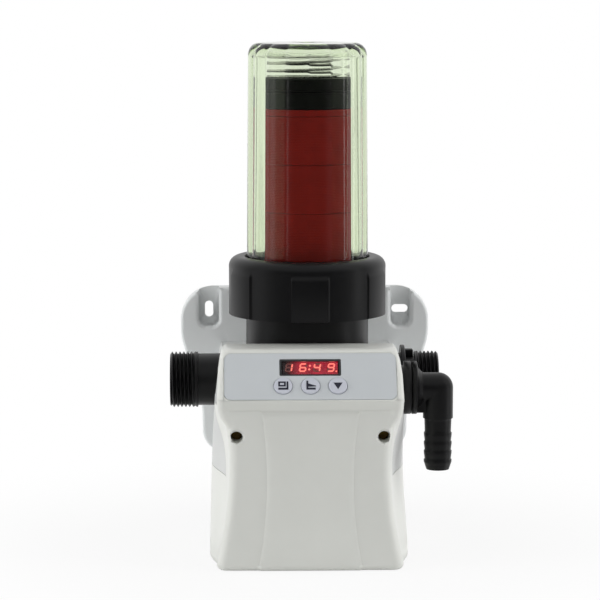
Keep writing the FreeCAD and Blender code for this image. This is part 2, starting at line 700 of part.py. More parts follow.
def filter_head():
    """Black chamber under the bowl, with its threaded collar, standing on the manifold."""
    under = CHAMBER_FLOOR_Z - CHAMBER_FLOOR_T
    z0, z1 = COLLAR_Z
    step = COLLAR_R - HEAD_R
    outside = turned([(0, under), (CHAMBER_R, under), (CHAMBER_R, HEAD_SKIRT_Z), (HEAD_R, HEAD_SKIRT_Z),
                      (HEAD_R, z0 - step), (COLLAR_R, z0), (COLLAR_R, z1), (COLLAR_R - 1.5, z1 + 1.5),
                      (COLLAR_R - 1.5, NECK_TOP_Z), (0, NECK_TOP_Z)])
    chamber = rod(CHAMBER_R, (0, 0, CHAMBER_FLOOR_Z), (0, 0, NECK_TOP_Z + 1))
    centre = rod(COLUMN_R + 0.02, (0, 0, under - 1), (0, 0, CHAMBER_FLOOR_Z + 1))
    pipe = rod(PIPE_R + 0.05, (-60, 0, PORT_Z), (60, 0, PORT_Z))
    seal = turned([(CHAMBER_R + 1.4, NECK_TOP_Z - SEAL_GROOVE), (CHAMBER_R + 4.6, NECK_TOP_Z - SEAL_GROOVE),
                   (CHAMBER_R + 4.6, NECK_TOP_Z + 1), (CHAMBER_R + 1.4, NECK_TOP_Z + 1)])
    duct = rod(DUCT_R + DUCT_WALL + 0.05, (DUCT_X, DUCT_Y, HEAD_SKIRT_Z - 1), (DUCT_X, DUCT_Y, under))
    cuts = [chamber, centre, pipe, seal, duct] + chamber_ports(under - 1, CHAMBER_FLOOR_Z + 1)
    return largest(outside.cut(cuts))


def manifold_body():
    """Black manifold: centre column, cross pipe, riser and duct to the chamber, lugs below."""
    under = CHAMBER_FLOOR_Z - CHAMBER_FLOOR_T - 0.01
    column = rod(COLUMN_R, (0, 0, COLUMN_FOOT_Z), (0, 0, DISC_BASE_Z - CORE_FLANGE_T))
    pipe = rod(PIPE_R, (-SOCKET_END_X, 0, PORT_Z), (SOCKET_END_X, 0, PORT_Z))
    x0, x1 = DUCT_BOSS_X
    boss = rod(DUCT_BOSS_R, (x0, DRAIN_Y, DRAIN_Z), (x1, DRAIN_Y, DRAIN_Z))
    duct_rise = rod(DUCT_R + DUCT_WALL, (DUCT_X, DUCT_Y, DRAIN_Z), (DUCT_X, DUCT_Y, under))
    riser = sector(COLUMN_R - 3.0, CHAMBER_R - 0.2, PORT_Z, under, 152, 56)
    lugs = [rod(LUG_R, (x, y, FRAME_Z + FRAME_T), (x, y, PORT_Z - 6.0)) for x, y in FRAME_LUGS]
    body = column.fuse([pipe, boss, duct_rise, riser] + lugs)
    socket_from = SOCKET_END_X - SOCKET_DEPTH
    cuts = [rod(COLUMN_BORE_R, (0, 0, COLUMN_FOOT_Z + 3.0), (0, 0, 170)),
            rod(PIPE_BORE_R, (-60, 0, PORT_Z), (-COLUMN_R - 1.5, 0, PORT_Z)),
            rod(PIPE_BORE_R, (0, 0, PORT_Z), (60, 0, PORT_Z)),
            rod(VALVE_BORE_R, (x0 + 4.0, DRAIN_Y, DRAIN_Z), (x1 + 1.0, DRAIN_Y, DRAIN_Z)),
            rod(VALVE_SPIGOT_R + SOCKET_FIT, (VALVE_FOOT_X, DRAIN_Y, DRAIN_Z), (60, DRAIN_Y, DRAIN_Z))]
    cuts += chamber_ports(PORT_Z, under + 1)
    cuts += both_sides(rod(SOCKET_R + SOCKET_FIT, (socket_from, 0, PORT_Z), (60, 0, PORT_Z)))
    cuts += [rod(1.3, (x, y, FRAME_Z), (x, y, FRAME_Z + 14)) for x, y in FRAME_LUGS]
    return largest(body.cut(cuts))


def bowl_seal():
    """Ring in the groove of the neck's rim, under the bowl's flange."""
    middle = CHAMBER_R + 3.0
    foot, top, edge = NECK_TOP_Z - SEAL_GROOVE + 0.02, NECK_TOP_Z, 0.5
    return turned([(middle - 1.5 + edge, foot), (middle + 1.5 - edge, foot), (middle + 1.5, foot + edge),
                   (middle + 1.5, top - edge), (middle + 1.5 - edge, top), (middle - 1.5 + edge, top),
                   (middle - 1.5, top - edge), (middle - 1.5, foot + edge)])


def spigot(sign, mouth_x, thread_x):
    """Pipe end pushed into the manifold's socket, with a thread outside the housing."""
    s = sign
    inner = s * (SOCKET_END_X - SOCKET_DEPTH + 0.05)
    mouth = s * abs(mouth_x)
    start = s * abs(thread_x)
    plug = rod(SOCKET_R, (inner, 0, PORT_Z), (s * SOCKET_END_X, 0, PORT_Z))
    body = fuse(plug, rod(PIPE_R, (s * (SOCKET_END_X + 0.05), 0, PORT_Z), (start, 0, PORT_Z)),
                rod(SOCKET_R, (s * SOCKET_END_X, 0, PORT_Z), (s * (SOCKET_END_X + 1), 0, PORT_Z)))
    thread = turned_along_x([(0, start), (THREAD_R - THREAD_CHAMFER, start),
                             (THREAD_R, start + s * THREAD_CHAMFER), (THREAD_R, mouth - s * THREAD_CHAMFER),
                             (THREAD_R - THREAD_CHAMFER, mouth), (0, mouth)], 0, PORT_Z)
    bore = rod(PIPE_BORE_R, (inner - s, 0, PORT_Z), (mouth + s, 0, PORT_Z))
    return body, thread, bore


def inlet_spigot():
    body, thread, bore = spigot(-1, INLET_END_X, INLET_THREAD_X)
    return fuse(body, thread).cut(bore)


def outlet_spigot():
    body, thread, bore = spigot(1, OUTLET_END_X, OUTLET_THREAD_X)
    x0 = SHOULDER_X
    relief = tube(PIPE_R + 1, RELIEF_R, (x0 + SHOULDER_T, 0, PORT_Z), (OUTLET_THREAD_X, 0, PORT_Z))
    shoulder = turned_along_x([(0, x0), (SHOULDER_R, x0), (SHOULDER_R, x0 + SHOULDER_T - 0.5),
                               (SHOULDER_R - 0.5, x0 + SHOULDER_T), (0, x0 + SHOULDER_T)], 0, PORT_Z)
    tab = block((x0 + 1.0, x0 + 7.6), (-2.6, 2.6), (PORT_Z + 13.0, PORT_Z + 18.0))
    tab = tab.makeFillet(1.0, [tab.Edges[k] for k in top_edges(tab)])
    return fuse(body.cut(relief), thread, shoulder, tab).cut(bore)


def top_edges(shape):
    top = shape.BoundBox.ZMax
    return [k for k, e in enumerate(shape.Edges) if abs(e.BoundBox.ZMin - top) < 1e-6]


# ---------------------------------------------------------------- bowl and lock nut
def lobed_section(r, depth, z):
    """Closed outline of equal convex lobes: radius r on their crests, r - depth between them."""
    edges = []
    for i in range(BOWL_RIBS):
        angles = [math.radians(360.0 / BOWL_RIBS * (i + share)) for share in (0.0, 0.5, 1.0)]
        radii = [r - depth, r, r - depth]
        points = [Vector(q * math.cos(a), q * math.sin(a), z) for q, a in zip(radii, angles)]
        edges.append(Part.Arc(*points).toShape())
    return Part.Wire(edges)


def bowl():
    """Clear bowl: lobed wall that runs over a round shoulder, flange at its foot."""
    foot = NECK_TOP_Z + 0.05
    shoulder_z = BOWL_TOP_Z - BOWL_SHOULDER_R
    wires = [lobed_section(BOWL_FOOT_R, BOWL_RIB_DEPTH, foot),
             lobed_section(BOWL_TOP_R, BOWL_RIB_DEPTH, shoulder_z)]
    for step in (1, 2, 3, 4):
        t = math.radians(90.0 * step / 4)
        r = BOWL_TOP_R - BOWL_SHOULDER_R * (1 - math.cos(t))
        z = shoulder_z + BOWL_SHOULDER_R * math.sin(t)
        wires.append(lobed_section(r, BOWL_RIB_DEPTH * (1 + step / 4), z))
    wall = Part.makeLoft(wires, True, True)
    flange = turned([(0, foot), (BOWL_FLANGE_R, foot), (BOWL_FLANGE_R, foot + BOWL_FLANGE_T - 0.6),
                     (BOWL_FLANGE_R - 0.6, foot + BOWL_FLANGE_T), (0, foot + BOWL_FLANGE_T)])
    roof = BOWL_TOP_Z - BOWL_ROOF
    inside = rod(BOWL_BORE_R, (0, 0, foot - 1), (0, 0, roof))
    rim = [e for e in inside.Edges if abs(e.BoundBox.ZMin - roof) < 1e-3]
    inside = inside.makeFillet(5.0, rim)
    gate = rod(3.4, (0, 0, BOWL_TOP_Z - 0.6), (0, 0, BOWL_TOP_Z + 1))
    return fuse(wall, flange).cut([inside, gate])


def slip_ring():
    """Flat ring between the bowl's flange and the nut's lip."""
    z = NECK_TOP_Z + 0.05 + BOWL_FLANGE_T + 0.05
    return tube(BOWL_FLANGE_R - 0.4, BOWL_FOOT_R + 0.8, (0, 0, z), (0, 0, z + SLIP_RING_T))


def collar_nut():
    """Lock nut: smooth top ring, and six grip pads between shallow recesses."""
    outside = rod(NUT_PAD_R, (0, 0, NUT_FOOT_Z), (0, 0, NUT_TOP_Z))
    rim = [e for e in outside.Edges if abs(e.BoundBox.ZMin - NUT_TOP_Z) < 1e-3]
    outside = outside.makeFillet(NUT_ROUND, rim)
    foot = [e for e in outside.Edges if abs(e.BoundBox.ZMax - NUT_FOOT_Z) < 1e-3]
    outside = outside.makeChamfer(1.0, foot)
    lip = NECK_TOP_Z + 0.05 + BOWL_FLANGE_T + 0.05 + SLIP_RING_T + 0.02
    inside = turned([(0, NUT_FOOT_Z - 1), (COLLAR_R + NUT_GAP, NUT_FOOT_Z - 1), (COLLAR_R + NUT_GAP, lip),
                     (BOWL_FOOT_R + NUT_GAP + 0.3, lip), (BOWL_FOOT_R + NUT_GAP + 0.3, NUT_TOP_Z + 1),
                     (0, NUT_TOP_Z + 1)])
    pitch = 360.0 / NUT_PADS
    start = -90 + NUT_PAD_TURN + NUT_PAD_DEG / 2
    recess = sector(NUT_BODY_R, NUT_PAD_R + 2, NUT_FOOT_Z - 1, NUT_RING_Z, start, pitch - NUT_PAD_DEG)
    return outside.cut([inside] + ring_of(recess, NUT_PADS))


# ---------------------------------------------------------------- disc cartridge
def disc_pack(z, height):
    return tube(DISC_R, DISC_BORE_R, (0, 0, z), (0, 0, z + height))


def stack_top():
    return DISC_BASE_Z + DISC_PACKS * DISC_PACK_T + DISC_TOP_PACK_T


def clamp_top():
    return stack_top() + 0.05 + CLAMP_LOWER_H + CLAMP_UPPER_H


def filter_core():
    """Ribbed spindle: foot in the column, flange under the discs, open slots between ribs."""
    top = stack_top() + CLAMP_LOWER_H + 3.0
    flange_z = DISC_BASE_Z - 0.05
    tube_body = rod(CORE_R, (0, 0, flange_z - 1), (0, 0, top))
    rib = block((CORE_R - 1, CORE_RIB_R), (-1.3, 1.3), (flange_z - 1, top - 4))
    flange = turned([(0, flange_z - CORE_FLANGE_T + 0.1), (CORE_FLANGE_R, flange_z - CORE_FLANGE_T + 0.1),
                     (CORE_FLANGE_R, flange_z), (0, flange_z)])
    foot_z = DISC_BASE_Z - CORE_FLANGE_T - CORE_FOOT_H
    foot = rod(COLUMN_BORE_R - SOCKET_FIT, (0, 0, foot_z), (0, 0, flange_z - 1))
    body = fuse(tube_body, flange, foot, *ring_of(rib, CORE_RIBS))
    bore = rod(CORE_R - CORE_WALL, (0, 0, foot_z - 1), (0, 0, top - 3))
    slots = []
    for k in range(5):
        z = DISC_BASE_Z + 8.0 + k * 21.5
        slot = block((0, CORE_R + 0.4), (-2.4, 2.4), (z, z + 15.0))
        slot.rotate(Vector(), Z, 180.0 / CORE_RIBS)
        slots += ring_of(slot, CORE_RIBS)
    return body.cut([bore] + slots)


def clamp_cap():
    """Two-tier cap on the discs, hollow below, sliding on the spindle."""
    z = stack_top() + 0.05
    mid, top = z + CLAMP_LOWER_H, clamp_top()
    g = CLAMP_STEP
    outside = turned([(0, z), (DISC_R, z), (DISC_R, mid - g / 2), (DISC_R - g, mid - g / 2),
                      (DISC_R - g, mid + g / 2), (DISC_R, mid + g / 2), (DISC_R, top - 1.0),
                      (DISC_R - 1.0, top), (SPRING_R + 2.2, top), (SPRING_R + 2.2, top - SPRING_SEAT_T),
                      (SPRING_R - 2.4, top - SPRING_SEAT_T), (SPRING_R - 3.4, top), (0, top)])
    well = rod(CORE_RIB_R + CLAMP_GAP, (0, 0, z - 1), (0, 0, top - CLAMP_WALL - SPRING_SEAT_T))
    return outside.cut(well)


def wire_ring(turn, z):
    """Octagonal section of the spring's wire, turn degrees round the axis at height z."""
    ring = []
    for k in range(8):
        a = math.radians(45.0 * k + 22.5)
        ring.append((SPRING_R + SPRING_WIRE / 2 * math.cos(a), 0, SPRING_WIRE / 2 * math.sin(a)))
    wire = polygon(ring)
    wire.rotate(Vector(), Z, turn)
    wire.translate(Vector(0, 0, z))
    return wire


def spring_wire():
    """Coil between the cap and the bowl's roof."""
    z0 = clamp_top() - SPRING_SEAT_T + SPRING_WIRE / 2 + 0.02
    z1 = BOWL_TOP_Z - BOWL_ROOF - SPRING_WIRE / 2 - 0.1
    count = SPRING_STEPS * SPRING_TURNS
    rings = [wire_ring(360.0 * i / SPRING_STEPS, z0 + (z1 - z0) * i / count) for i in range(count + 1)]
    return Part.makeLoft(rings, True, True)


# ---------------------------------------------------------------- drain valve
def along_drain(points):
    return turned_along_x(points, DRAIN_Y, DRAIN_Z)


def drain_rod(r, x0, x1):
    return rod(r, (x0, DRAIN_Y, DRAIN_Z), (x1, DRAIN_Y, DRAIN_Z))


def drain_valve_body():
    """Ball valve body: spigot in the manifold, stem boss below, clip slot in its mouth flange."""
    manifold_x = DUCT_BOSS_X[1] + 0.05
    flange_x = VALVE_MOUTH_X - VALVE_FLANGE_T
    body = along_drain([(0, VALVE_FOOT_X + 0.05), (VALVE_SPIGOT_R, VALVE_FOOT_X + 0.05),
                        (VALVE_SPIGOT_R, manifold_x), (VALVE_R, manifold_x), (VALVE_R, flange_x),
                        (VALVE_FLANGE_R, flange_x), (VALVE_FLANGE_R, VALVE_MOUTH_X - 0.4),
                        (VALVE_FLANGE_R - 0.4, VALVE_MOUTH_X), (0, VALVE_MOUTH_X)])
    boss = rod(STEM_BOSS_R, (BALL_X, DRAIN_Y, STEM_BOSS_Z), (BALL_X, DRAIN_Y, DRAIN_Z - 10))
    body = fuse(body, boss)
    cavity = drain_rod(VALVE_CAVITY_R, BALL_X - BALL_R * 0.75 - SEAT_T, VALVE_MOUTH_X + 1)
    bore = drain_rod(VALVE_BORE_R, VALVE_FOOT_X - 1, BALL_X)
    stem = rod(STEM_R + STEM_GAP, (BALL_X, DRAIN_Y, STEM_BOSS_Z - 1), (BALL_X, DRAIN_Y, DRAIN_Z))
    slot = clip_plate(CLIP_X - 0.05, CLIP_T + 0.1, 0.1)
    return body.cut([cavity, bore, stem, slot])


def clip_plate(x, thickness, grow):
    """U-shaped plate across the drain's axis, its open end down."""
    outer, legs = 13.6 + grow, 13.0 + grow
    inner = CLIP_GROOVE_R + CLIP_GAP - grow
    ring = tube(outer, inner, (x, DRAIN_Y, DRAIN_Z), (x + thickness, DRAIN_Y, DRAIN_Z))
    mouth = block((x, x + thickness), (DRAIN_Y - inner, DRAIN_Y + inner), (DRAIN_Z - 30, DRAIN_Z))
    return ring.cut(mouth)


def valve_seat(x0, x1):
    ring = along_drain([(VALVE_BORE_R, x0), (VALVE_CAVITY_R - 0.05, x0),
                        (VALVE_CAVITY_R - 0.05, x1), (VALVE_BORE_R, x1)])
    return ring.cut(Part.makeSphere(BALL_R + BALL_GAP, Vector(BALL_X, DRAIN_Y, DRAIN_Z)))


def valve_seats():
    reach = BALL_R * 0.75
    return [valve_seat(BALL_X - reach - SEAT_T, BALL_X - reach + 1.4),
            valve_seat(BALL_X + reach - 1.4, BALL_X + reach + SEAT_T)]


def valve_ball():
    """Ball with a cross bore, shut at rest: its bore lies across the pipe."""
    centre = Vector(BALL_X, DRAIN_Y, DRAIN_Z)
    ball = Part.makeSphere(BALL_R, centre)
    bore = rod(VALVE_BORE_R, (BALL_X, DRAIN_Y - 20, DRAIN_Z), (BALL_X, DRAIN_Y + 20, DRAIN_Z))
    slot = block((BALL_X - 2.0, BALL_X + 2.0), (DRAIN_Y - 9, DRAIN_Y + 9), (DRAIN_Z - 20, DRAIN_Z - 7.6))
    return largest(ball.cut([bore, slot]))


def valve_stem():
    """Stem with a blade in the ball's slot, a seal groove, and a square for the gear."""
    top = DRAIN_Z - 10.7
    shaft = rod(STEM_R, (BALL_X, DRAIN_Y, GEAR_Z + GEAR_T), (BALL_X, DRAIN_Y, top))
    blade = block((BALL_X - 1.95, BALL_X + 1.95), (DRAIN_Y - 2.2, DRAIN_Y + 2.2), (top - 1, DRAIN_Z - 7.65))
    square = 2.0
    foot = block((BALL_X - square, BALL_X + square), (DRAIN_Y - square, DRAIN_Y + square),
                 (STEM_FOOT_Z, GEAR_Z + GEAR_T))
    groove = rod(STEM_R + 1, (BALL_X, DRAIN_Y, 78.0), (BALL_X, DRAIN_Y, 80.0))
    groove = groove.cut(rod(STEM_R - 0.9, (BALL_X, DRAIN_Y, 77.0), (BALL_X, DRAIN_Y, 81.0)))
    return fuse(shaft, blade, foot).cut(groove)


def stem_seal():
    return tube(STEM_R + STEM_GAP - 0.02, STEM_R - 0.88, (BALL_X, DRAIN_Y, 78.05), (BALL_X, DRAIN_Y, 79.95))


def drain_elbow():
    """Turning elbow: grooved spigot, ring, cone and web, ball-shaped corner, barbed leg."""
    ring = ELBOW_RING_X
    flat = ring + ELBOW_RING_T
    spigot_r = VALVE_CAVITY_R - SPIGOT_GAP
    groove_x = CLIP_X - CLIP_GAP
    inlet = along_drain([
        (0, ELBOW_SPIGOT_X), (spigot_r - 0.8, ELBOW_SPIGOT_X), (spigot_r, ELBOW_SPIGOT_X + 0.8),
        (spigot_r, 49.0), (8.9, 49.0), (8.9, 51.0), (spigot_r, 51.0),
        (spigot_r, groove_x), (CLIP_GROOVE_R, groove_x), (CLIP_GROOVE_R, groove_x + CLIP_T + 2 * CLIP_GAP),
        (spigot_r, groove_x + CLIP_T + 2 * CLIP_GAP), (spigot_r, ring), (VALVE_FLANGE_R, ring),
        (VALVE_FLANGE_R, flat - 0.4), (VALVE_FLANGE_R - 0.4, flat), (12.6, flat),
        (ELBOW_R, ELBOW_CONE_X), (0, ELBOW_CONE_X)])
    corner = Vector(ELBOW_LEG_X, DRAIN_Y, DRAIN_Z)
    arm = drain_rod(ELBOW_R, ELBOW_CONE_X - 0.5, ELBOW_LEG_X)
    ball = Part.makeSphere(ELBOW_R, corner)
    web = block((flat - 1.0, ELBOW_LEG_X), (DRAIN_Y - ELBOW_WEB_T / 2, DRAIN_Y + ELBOW_WEB_T / 2),
                (ELBOW_WEB_Z, DRAIN_Z - ELBOW_BORE_R - 1.0))
    leg = [(0, DRAIN_Z), (ELBOW_R, DRAIN_Z), (ELBOW_R, ELBOW_STEP_Z), (BARB_ROOT_R + 0.3, ELBOW_STEP_Z)]
    for i in range(BARBS):
        top = BARB_TOP_Z - i * BARB_PITCH
        leg += [(BARB_ROOT_R, top + 0.5), (BARB_R, top), (BARB_R, top - BARB_LAND)]
    leg += [(BARB_ROOT_R - 1.0, BARB_FOOT_Z), (0, BARB_FOOT_Z)]
    leg = turned(leg)
    leg.translate(Vector(ELBOW_LEG_X, DRAIN_Y, 0))
    body = fuse(inlet, arm, ball, leg, web)
    bores = [drain_rod(ELBOW_BORE_R, ELBOW_SPIGOT_X - 1, ELBOW_LEG_X),
             Part.makeSphere(ELBOW_BORE_R, corner),
             rod(ELBOW_BORE_R, (ELBOW_LEG_X, DRAIN_Y, BARB_FOOT_Z - 1), (ELBOW_LEG_X, DRAIN_Y, DRAIN_Z))]
    return body.cut(fuse(*bores))


def elbow_seal():
    return along_drain([(8.95, 49.05), (VALVE_CAVITY_R - 0.05, 49.05), (VALVE_CAVITY_R - 0.05, 50.95),
                        (8.95, 50.95)])


def elbow_clip():
    return clip_plate(CLIP_X, CLIP_T, 0.0)


# ---------------------------------------------------------------- valve drive
def gear_blank(teeth, z, thickness, turn_deg=0.0):
    """Spur gear with involute flanks, centred on Z."""
    pitch_r = GEAR_MODULE * teeth / 2
    base_r = pitch_r * math.cos(math.radians(PRESSURE_DEG))
    tip_r, root_r = pitch_r + GEAR_MODULE, pitch_r - 1.25 * GEAR_MODULE
    alpha = math.radians(PRESSURE_DEG)
    half = math.pi / (2 * teeth) + math.tan(alpha) - alpha - BACKLASH / (4 * pitch_r)
    flank = []
    start = max(base_r, root_r)
    for k in range(4):
        r = start + (tip_r - start) * k / 3
        roll = math.acos(base_r / r)
        flank.append((r, half - (math.tan(roll) - roll)))
    points = []
    for i in range(teeth):
        middle = 2 * math.pi * i / teeth
        side = [(root_r, middle - flank[0][1])] if root_r < start else []
        side += [(r, middle - a) for r, a in flank]
        side += [(r, middle + a) for r, a in reversed(flank)]
        side += [(root_r, middle + flank[0][1])] if root_r < start else []
        points += [(r * math.cos(a), r * math.sin(a), z) for r, a in side]
    gear = Part.Face(polygon(points)).extrude(Vector(0, 0, thickness))
    gear.rotate(Vector(), Z, turn_deg)
    return gear


def pinion_x():
    return BALL_X - GEAR_MODULE * (GEAR_TEETH + PINION_TEETH) / 2


def valve_gear():
    """Big gear on the stem's square, with a thin web and a hub."""
    gear = gear_blank(GEAR_TEETH, GEAR_Z, GEAR_T)
    hollow = tube(GEAR_MODULE * GEAR_TEETH / 2 - 3.6, 6.0, (0, 0, GEAR_Z + 2.0), (0, 0, GEAR_Z + GEAR_T + 1))
    square = block((-2.03, 2.03), (-2.03, 2.03), (GEAR_Z - 1, GEAR_Z + GEAR_T + 1))
    gear = gear.cut([hollow, square])
    gear.translate(Vector(BALL_X, DRAIN_Y, 0))
    return gear


def motor_pinion():
    """Pinion and its shaft, which comes out of the gearbox."""
    gear = gear_blank(PINION_TEETH, GEAR_Z - 1.0, GEAR_T + 2.0, 180.0 / PINION_TEETH)
    gear = fuse(gear, rod(SHAFT_R, (0, 0, FRAME_Z - 8.0), (0, 0, GEAR_Z + GEAR_T + 2.5)),
                rod(3.6, (0, 0, FRAME_Z + FRAME_T + 0.5), (0, 0, GEAR_Z - 1.0)))
    gear.translate(Vector(pinion_x(), DRAIN_Y, 0))
    return gear


def drive_frame():
    """Plate under the manifold's lugs, which carries the gearbox."""
    corners = [(-21, -50, 6), (16, -50, 8), (46, -18, 6), (46, -3, 6), (-21, -3, 6)]
    plate = prism(rounded(corners), Vector(0, 0, FRAME_T - 0.05))
    plate.translate(Vector(0, 0, FRAME_Z))
    cuts = [rod(2.6, (pinion_x(), DRAIN_Y, 0), (pinion_x(), DRAIN_Y, 99))]
    cuts += [rod(1.55, (x, y, 0), (x, y, 99)) for x, y in FRAME_LUGS]
    cuts += [rod(1.3, (x, y, 0), (x, y, 99)) for x, y in gearbox_screws()]
    return plate.cut(cuts)


def gearbox_screws():
    c = pinion_x()
    return [(c + 14.0 * math.cos(a), DRAIN_Y + 14.0 * math.sin(a)) for a in (0.5, math.pi - 0.4)]


def frame_screws():
    screws = []
    for x, y in FRAME_LUGS:
        head = rod(2.6, (x, y, FRAME_Z - 1.9), (x, y, FRAME_Z - 0.01))
        screws.append(fuse(head, rod(1.3, (x, y, FRAME_Z - 0.5), (x, y, FRAME_Z + 12))))
    return screws


def gearbox_case():
    """Round gearbox under the plate, with a bore for the pinion's shaft."""
    z0, z1 = FRAME_Z - GEARBOX_H, FRAME_Z - 0.01
    case = rod(GEARBOX_R, (0, 0, z0), (0, 0, z1))
    ends = [e for e in case.Edges if e.BoundBox.ZLength < 1e-6]
    case = case.makeChamfer(0.8, ends)
    case.translate(Vector(pinion_x(), DRAIN_Y, 0))
    well = rod(SHAFT_R + 0.08, (pinion_x(), DRAIN_Y, FRAME_Z - 8.1), (pinion_x(), DRAIN_Y, FRAME_Z + 1))
    return case.cut(well)


def motor_can():
    """Motor below the gearbox, with its end boss and two tabs."""
    top = FRAME_Z - GEARBOX_H - 0.01
    body = rod(MOTOR_R, (0, 0, top - MOTOR_H), (0, 0, top))
    foot = [e for e in body.Edges if abs(e.BoundBox.ZMax - (top - MOTOR_H)) < 1e-6]
    body = body.makeChamfer(1.0, foot)
    boss = rod(3.5, (0, 0, top - MOTOR_H - 1.8), (0, 0, top - MOTOR_H + 1))
    tabs = [block((x - 0.4, x + 0.4), (-1.4, 1.4), (top - MOTOR_H - 4.0, top - MOTOR_H + 1)) for x in (-8, 8)]
    body = fuse(body, boss, *tabs)
    body.translate(Vector(pinion_x(), DRAIN_Y, 0))
    return body


# ---------------------------------------------------------------- wall bracket and power inlet
def bracket_outline(inset=0.0):
    corners = [(-EAR_X, EAR_TOP_Z, EAR_ROUND), (-EAR_X, 117.0, 30.0), (-64.0, 72.0, 24.0),
               (-63.4, BRACKET_FOOT_Z, 14.0)]
    corners += [(-x, z, r) for x, z, r in reversed(corners)]
    wire = rounded(corners, lambda a, b: Vector(a, 0, b))
    return wire if inset == 0.0 else wire.makeOffset2D(-inset)


def slab(wire, y0, y1):
    piece = prism(wire, Vector(0, y1 - y0, 0))
    piece.translate(Vector(0, y0, 0))
    return piece


def pocket_outline(x, half, foot, top):
    return rounded([(x - half, foot, half * 0.8), (x + half, foot, half * 0.8), (x + half, top, 0.0),
                    (x - half, top, 0.0)], lambda a, b: Vector(a, 0, b))


def slot_cut(x, z, length, width, vertical):
    half = (length - width) / 2
    dx, dz = (0, half) if vertical else (half, 0)
    ends = [rod(width / 2, (x + s * dx, 50, z + s * dz), (x + s * dx, 90, z + s * dz)) for s in (-1, 1)]
    w = width / 2
    middle = block((x - dx - (w if vertical else 0), x + dx + (w if vertical else 0)), (50, 90),
                   (z - dz - (0 if vertical else w), z + dz + (0 if vertical else w)))
    return ends[0].fuse([ends[1], middle])


def wall_bracket():
    """Wall plate with two ears: hollow behind, each ear with an open-topped pocket and a slot."""
    front = REAR_Y + 0.05
    solid = slab(bracket_outline(), front, WALL_Y)
    rim = [e for e in solid.Edges if abs(e.BoundBox.YMax - front) < 1e-6]
    solid = solid.makeFillet(2.0, rim)
    hollow = slab(bracket_outline(BRACKET_WALL), front + BRACKET_WALL, WALL_Y + 5)
    ribs = [block((x - 1.2, x + 1.2), (front + 1, WALL_Y - 2), (BRACKET_FOOT_Z + 1, EAR_TOP_Z - 1))
            for x in (-26.0, 0.0, 26.0)]
    ribs.append(block((-60, 60), (front + 1, WALL_Y - 2), (86.0, 88.4)))
    bosses = [rod(4.0, (x, front + 1, z), (x, WALL_Y - 2, z)) for x, z in BRACKET_SCREWS]
    top = EAR_TOP_Z + 5
    cups, pockets = [], []
    for x in (-SLOT_X, SLOT_X):
        wall = slab(pocket_outline(x, POCKET_HALF + 2.4, POCKET_FOOT_Z - 2.4, top), front, WALL_Y)
        cups.append(wall.common(slab(bracket_outline(), front, WALL_Y)))
        pocket = pocket_outline(x, POCKET_HALF, POCKET_FOOT_Z, top)
        pockets.append(slab(pocket, front - 1, front + POCKET_DEPTH))
    keep = slab(bracket_outline(1.0), front, WALL_Y)
    body = solid.cut(hollow).fuse([piece.common(keep) for piece in ribs] + bosses + cups)
    cuts = pockets + [slot_cut(-SLOT_X, SLOT_Z, SLOT_LEN, SLOT_W, True),
                      slot_cut(SLOT_X, SLOT_Z, SLOT_LEN, SLOT_W, False)]
    cuts += [rod(SCREW_R - 0.02, (x, 50, z), (x, WALL_Y - 3, z)) for x, z in BRACKET_SCREWS]
    return largest(body.cut(cuts))


def bracket_screw(x, z):
    seat = REAR_Y - WALL_T - 0.02
    head = rod(3.4, (x, seat - 2.0, z), (x, seat, z))
    rim = [e for e in head.Edges if abs(e.BoundBox.YMax - (seat - 2.0)) < 1e-6]
    return fuse(head.makeChamfer(0.9, rim), rod(SCREW_R - 0.05, (x, seat - 0.5, z), (x, WALL_Y - 3.4, z)))


def jack_face():
    """Where the jack's face lies along X: just inside the housing's side."""
    return side_half(JACK_Z + JACK_NUT_R) - 0.05


def power_jack():
    """Round low-voltage inlet in the side wall: threaded body, face ring and centre pin."""
    face = jack_face()
    body = rod(JACK_R, (face - 14.0, JACK_Y, JACK_Z), (face, JACK_Y, JACK_Z))
    ring = rod(JACK_NUT_R, (face - 1.15, JACK_Y, JACK_Z), (face, JACK_Y, JACK_Z))
    well = tube(JACK_BORE_R, 1.05, (face - JACK_DEPTH, JACK_Y, JACK_Z), (face + 1, JACK_Y, JACK_Z))
    tip = rod(2.0, (face - 1.2, JACK_Y, JACK_Z), (face + 1, JACK_Y, JACK_Z))
    return fuse(body, ring).cut([well, tip])


def jack_nut():
    seat = jack_face() - JACK_WALL
    nut = rod(JACK_NUT_R, (seat - 2.0, JACK_Y, JACK_Z), (seat - 0.05, JACK_Y, JACK_Z))
    return nut.cut(rod(JACK_R + 0.02, (seat - 5.0, JACK_Y, JACK_Z), (seat + 5.0, JACK_Y, JACK_Z)))


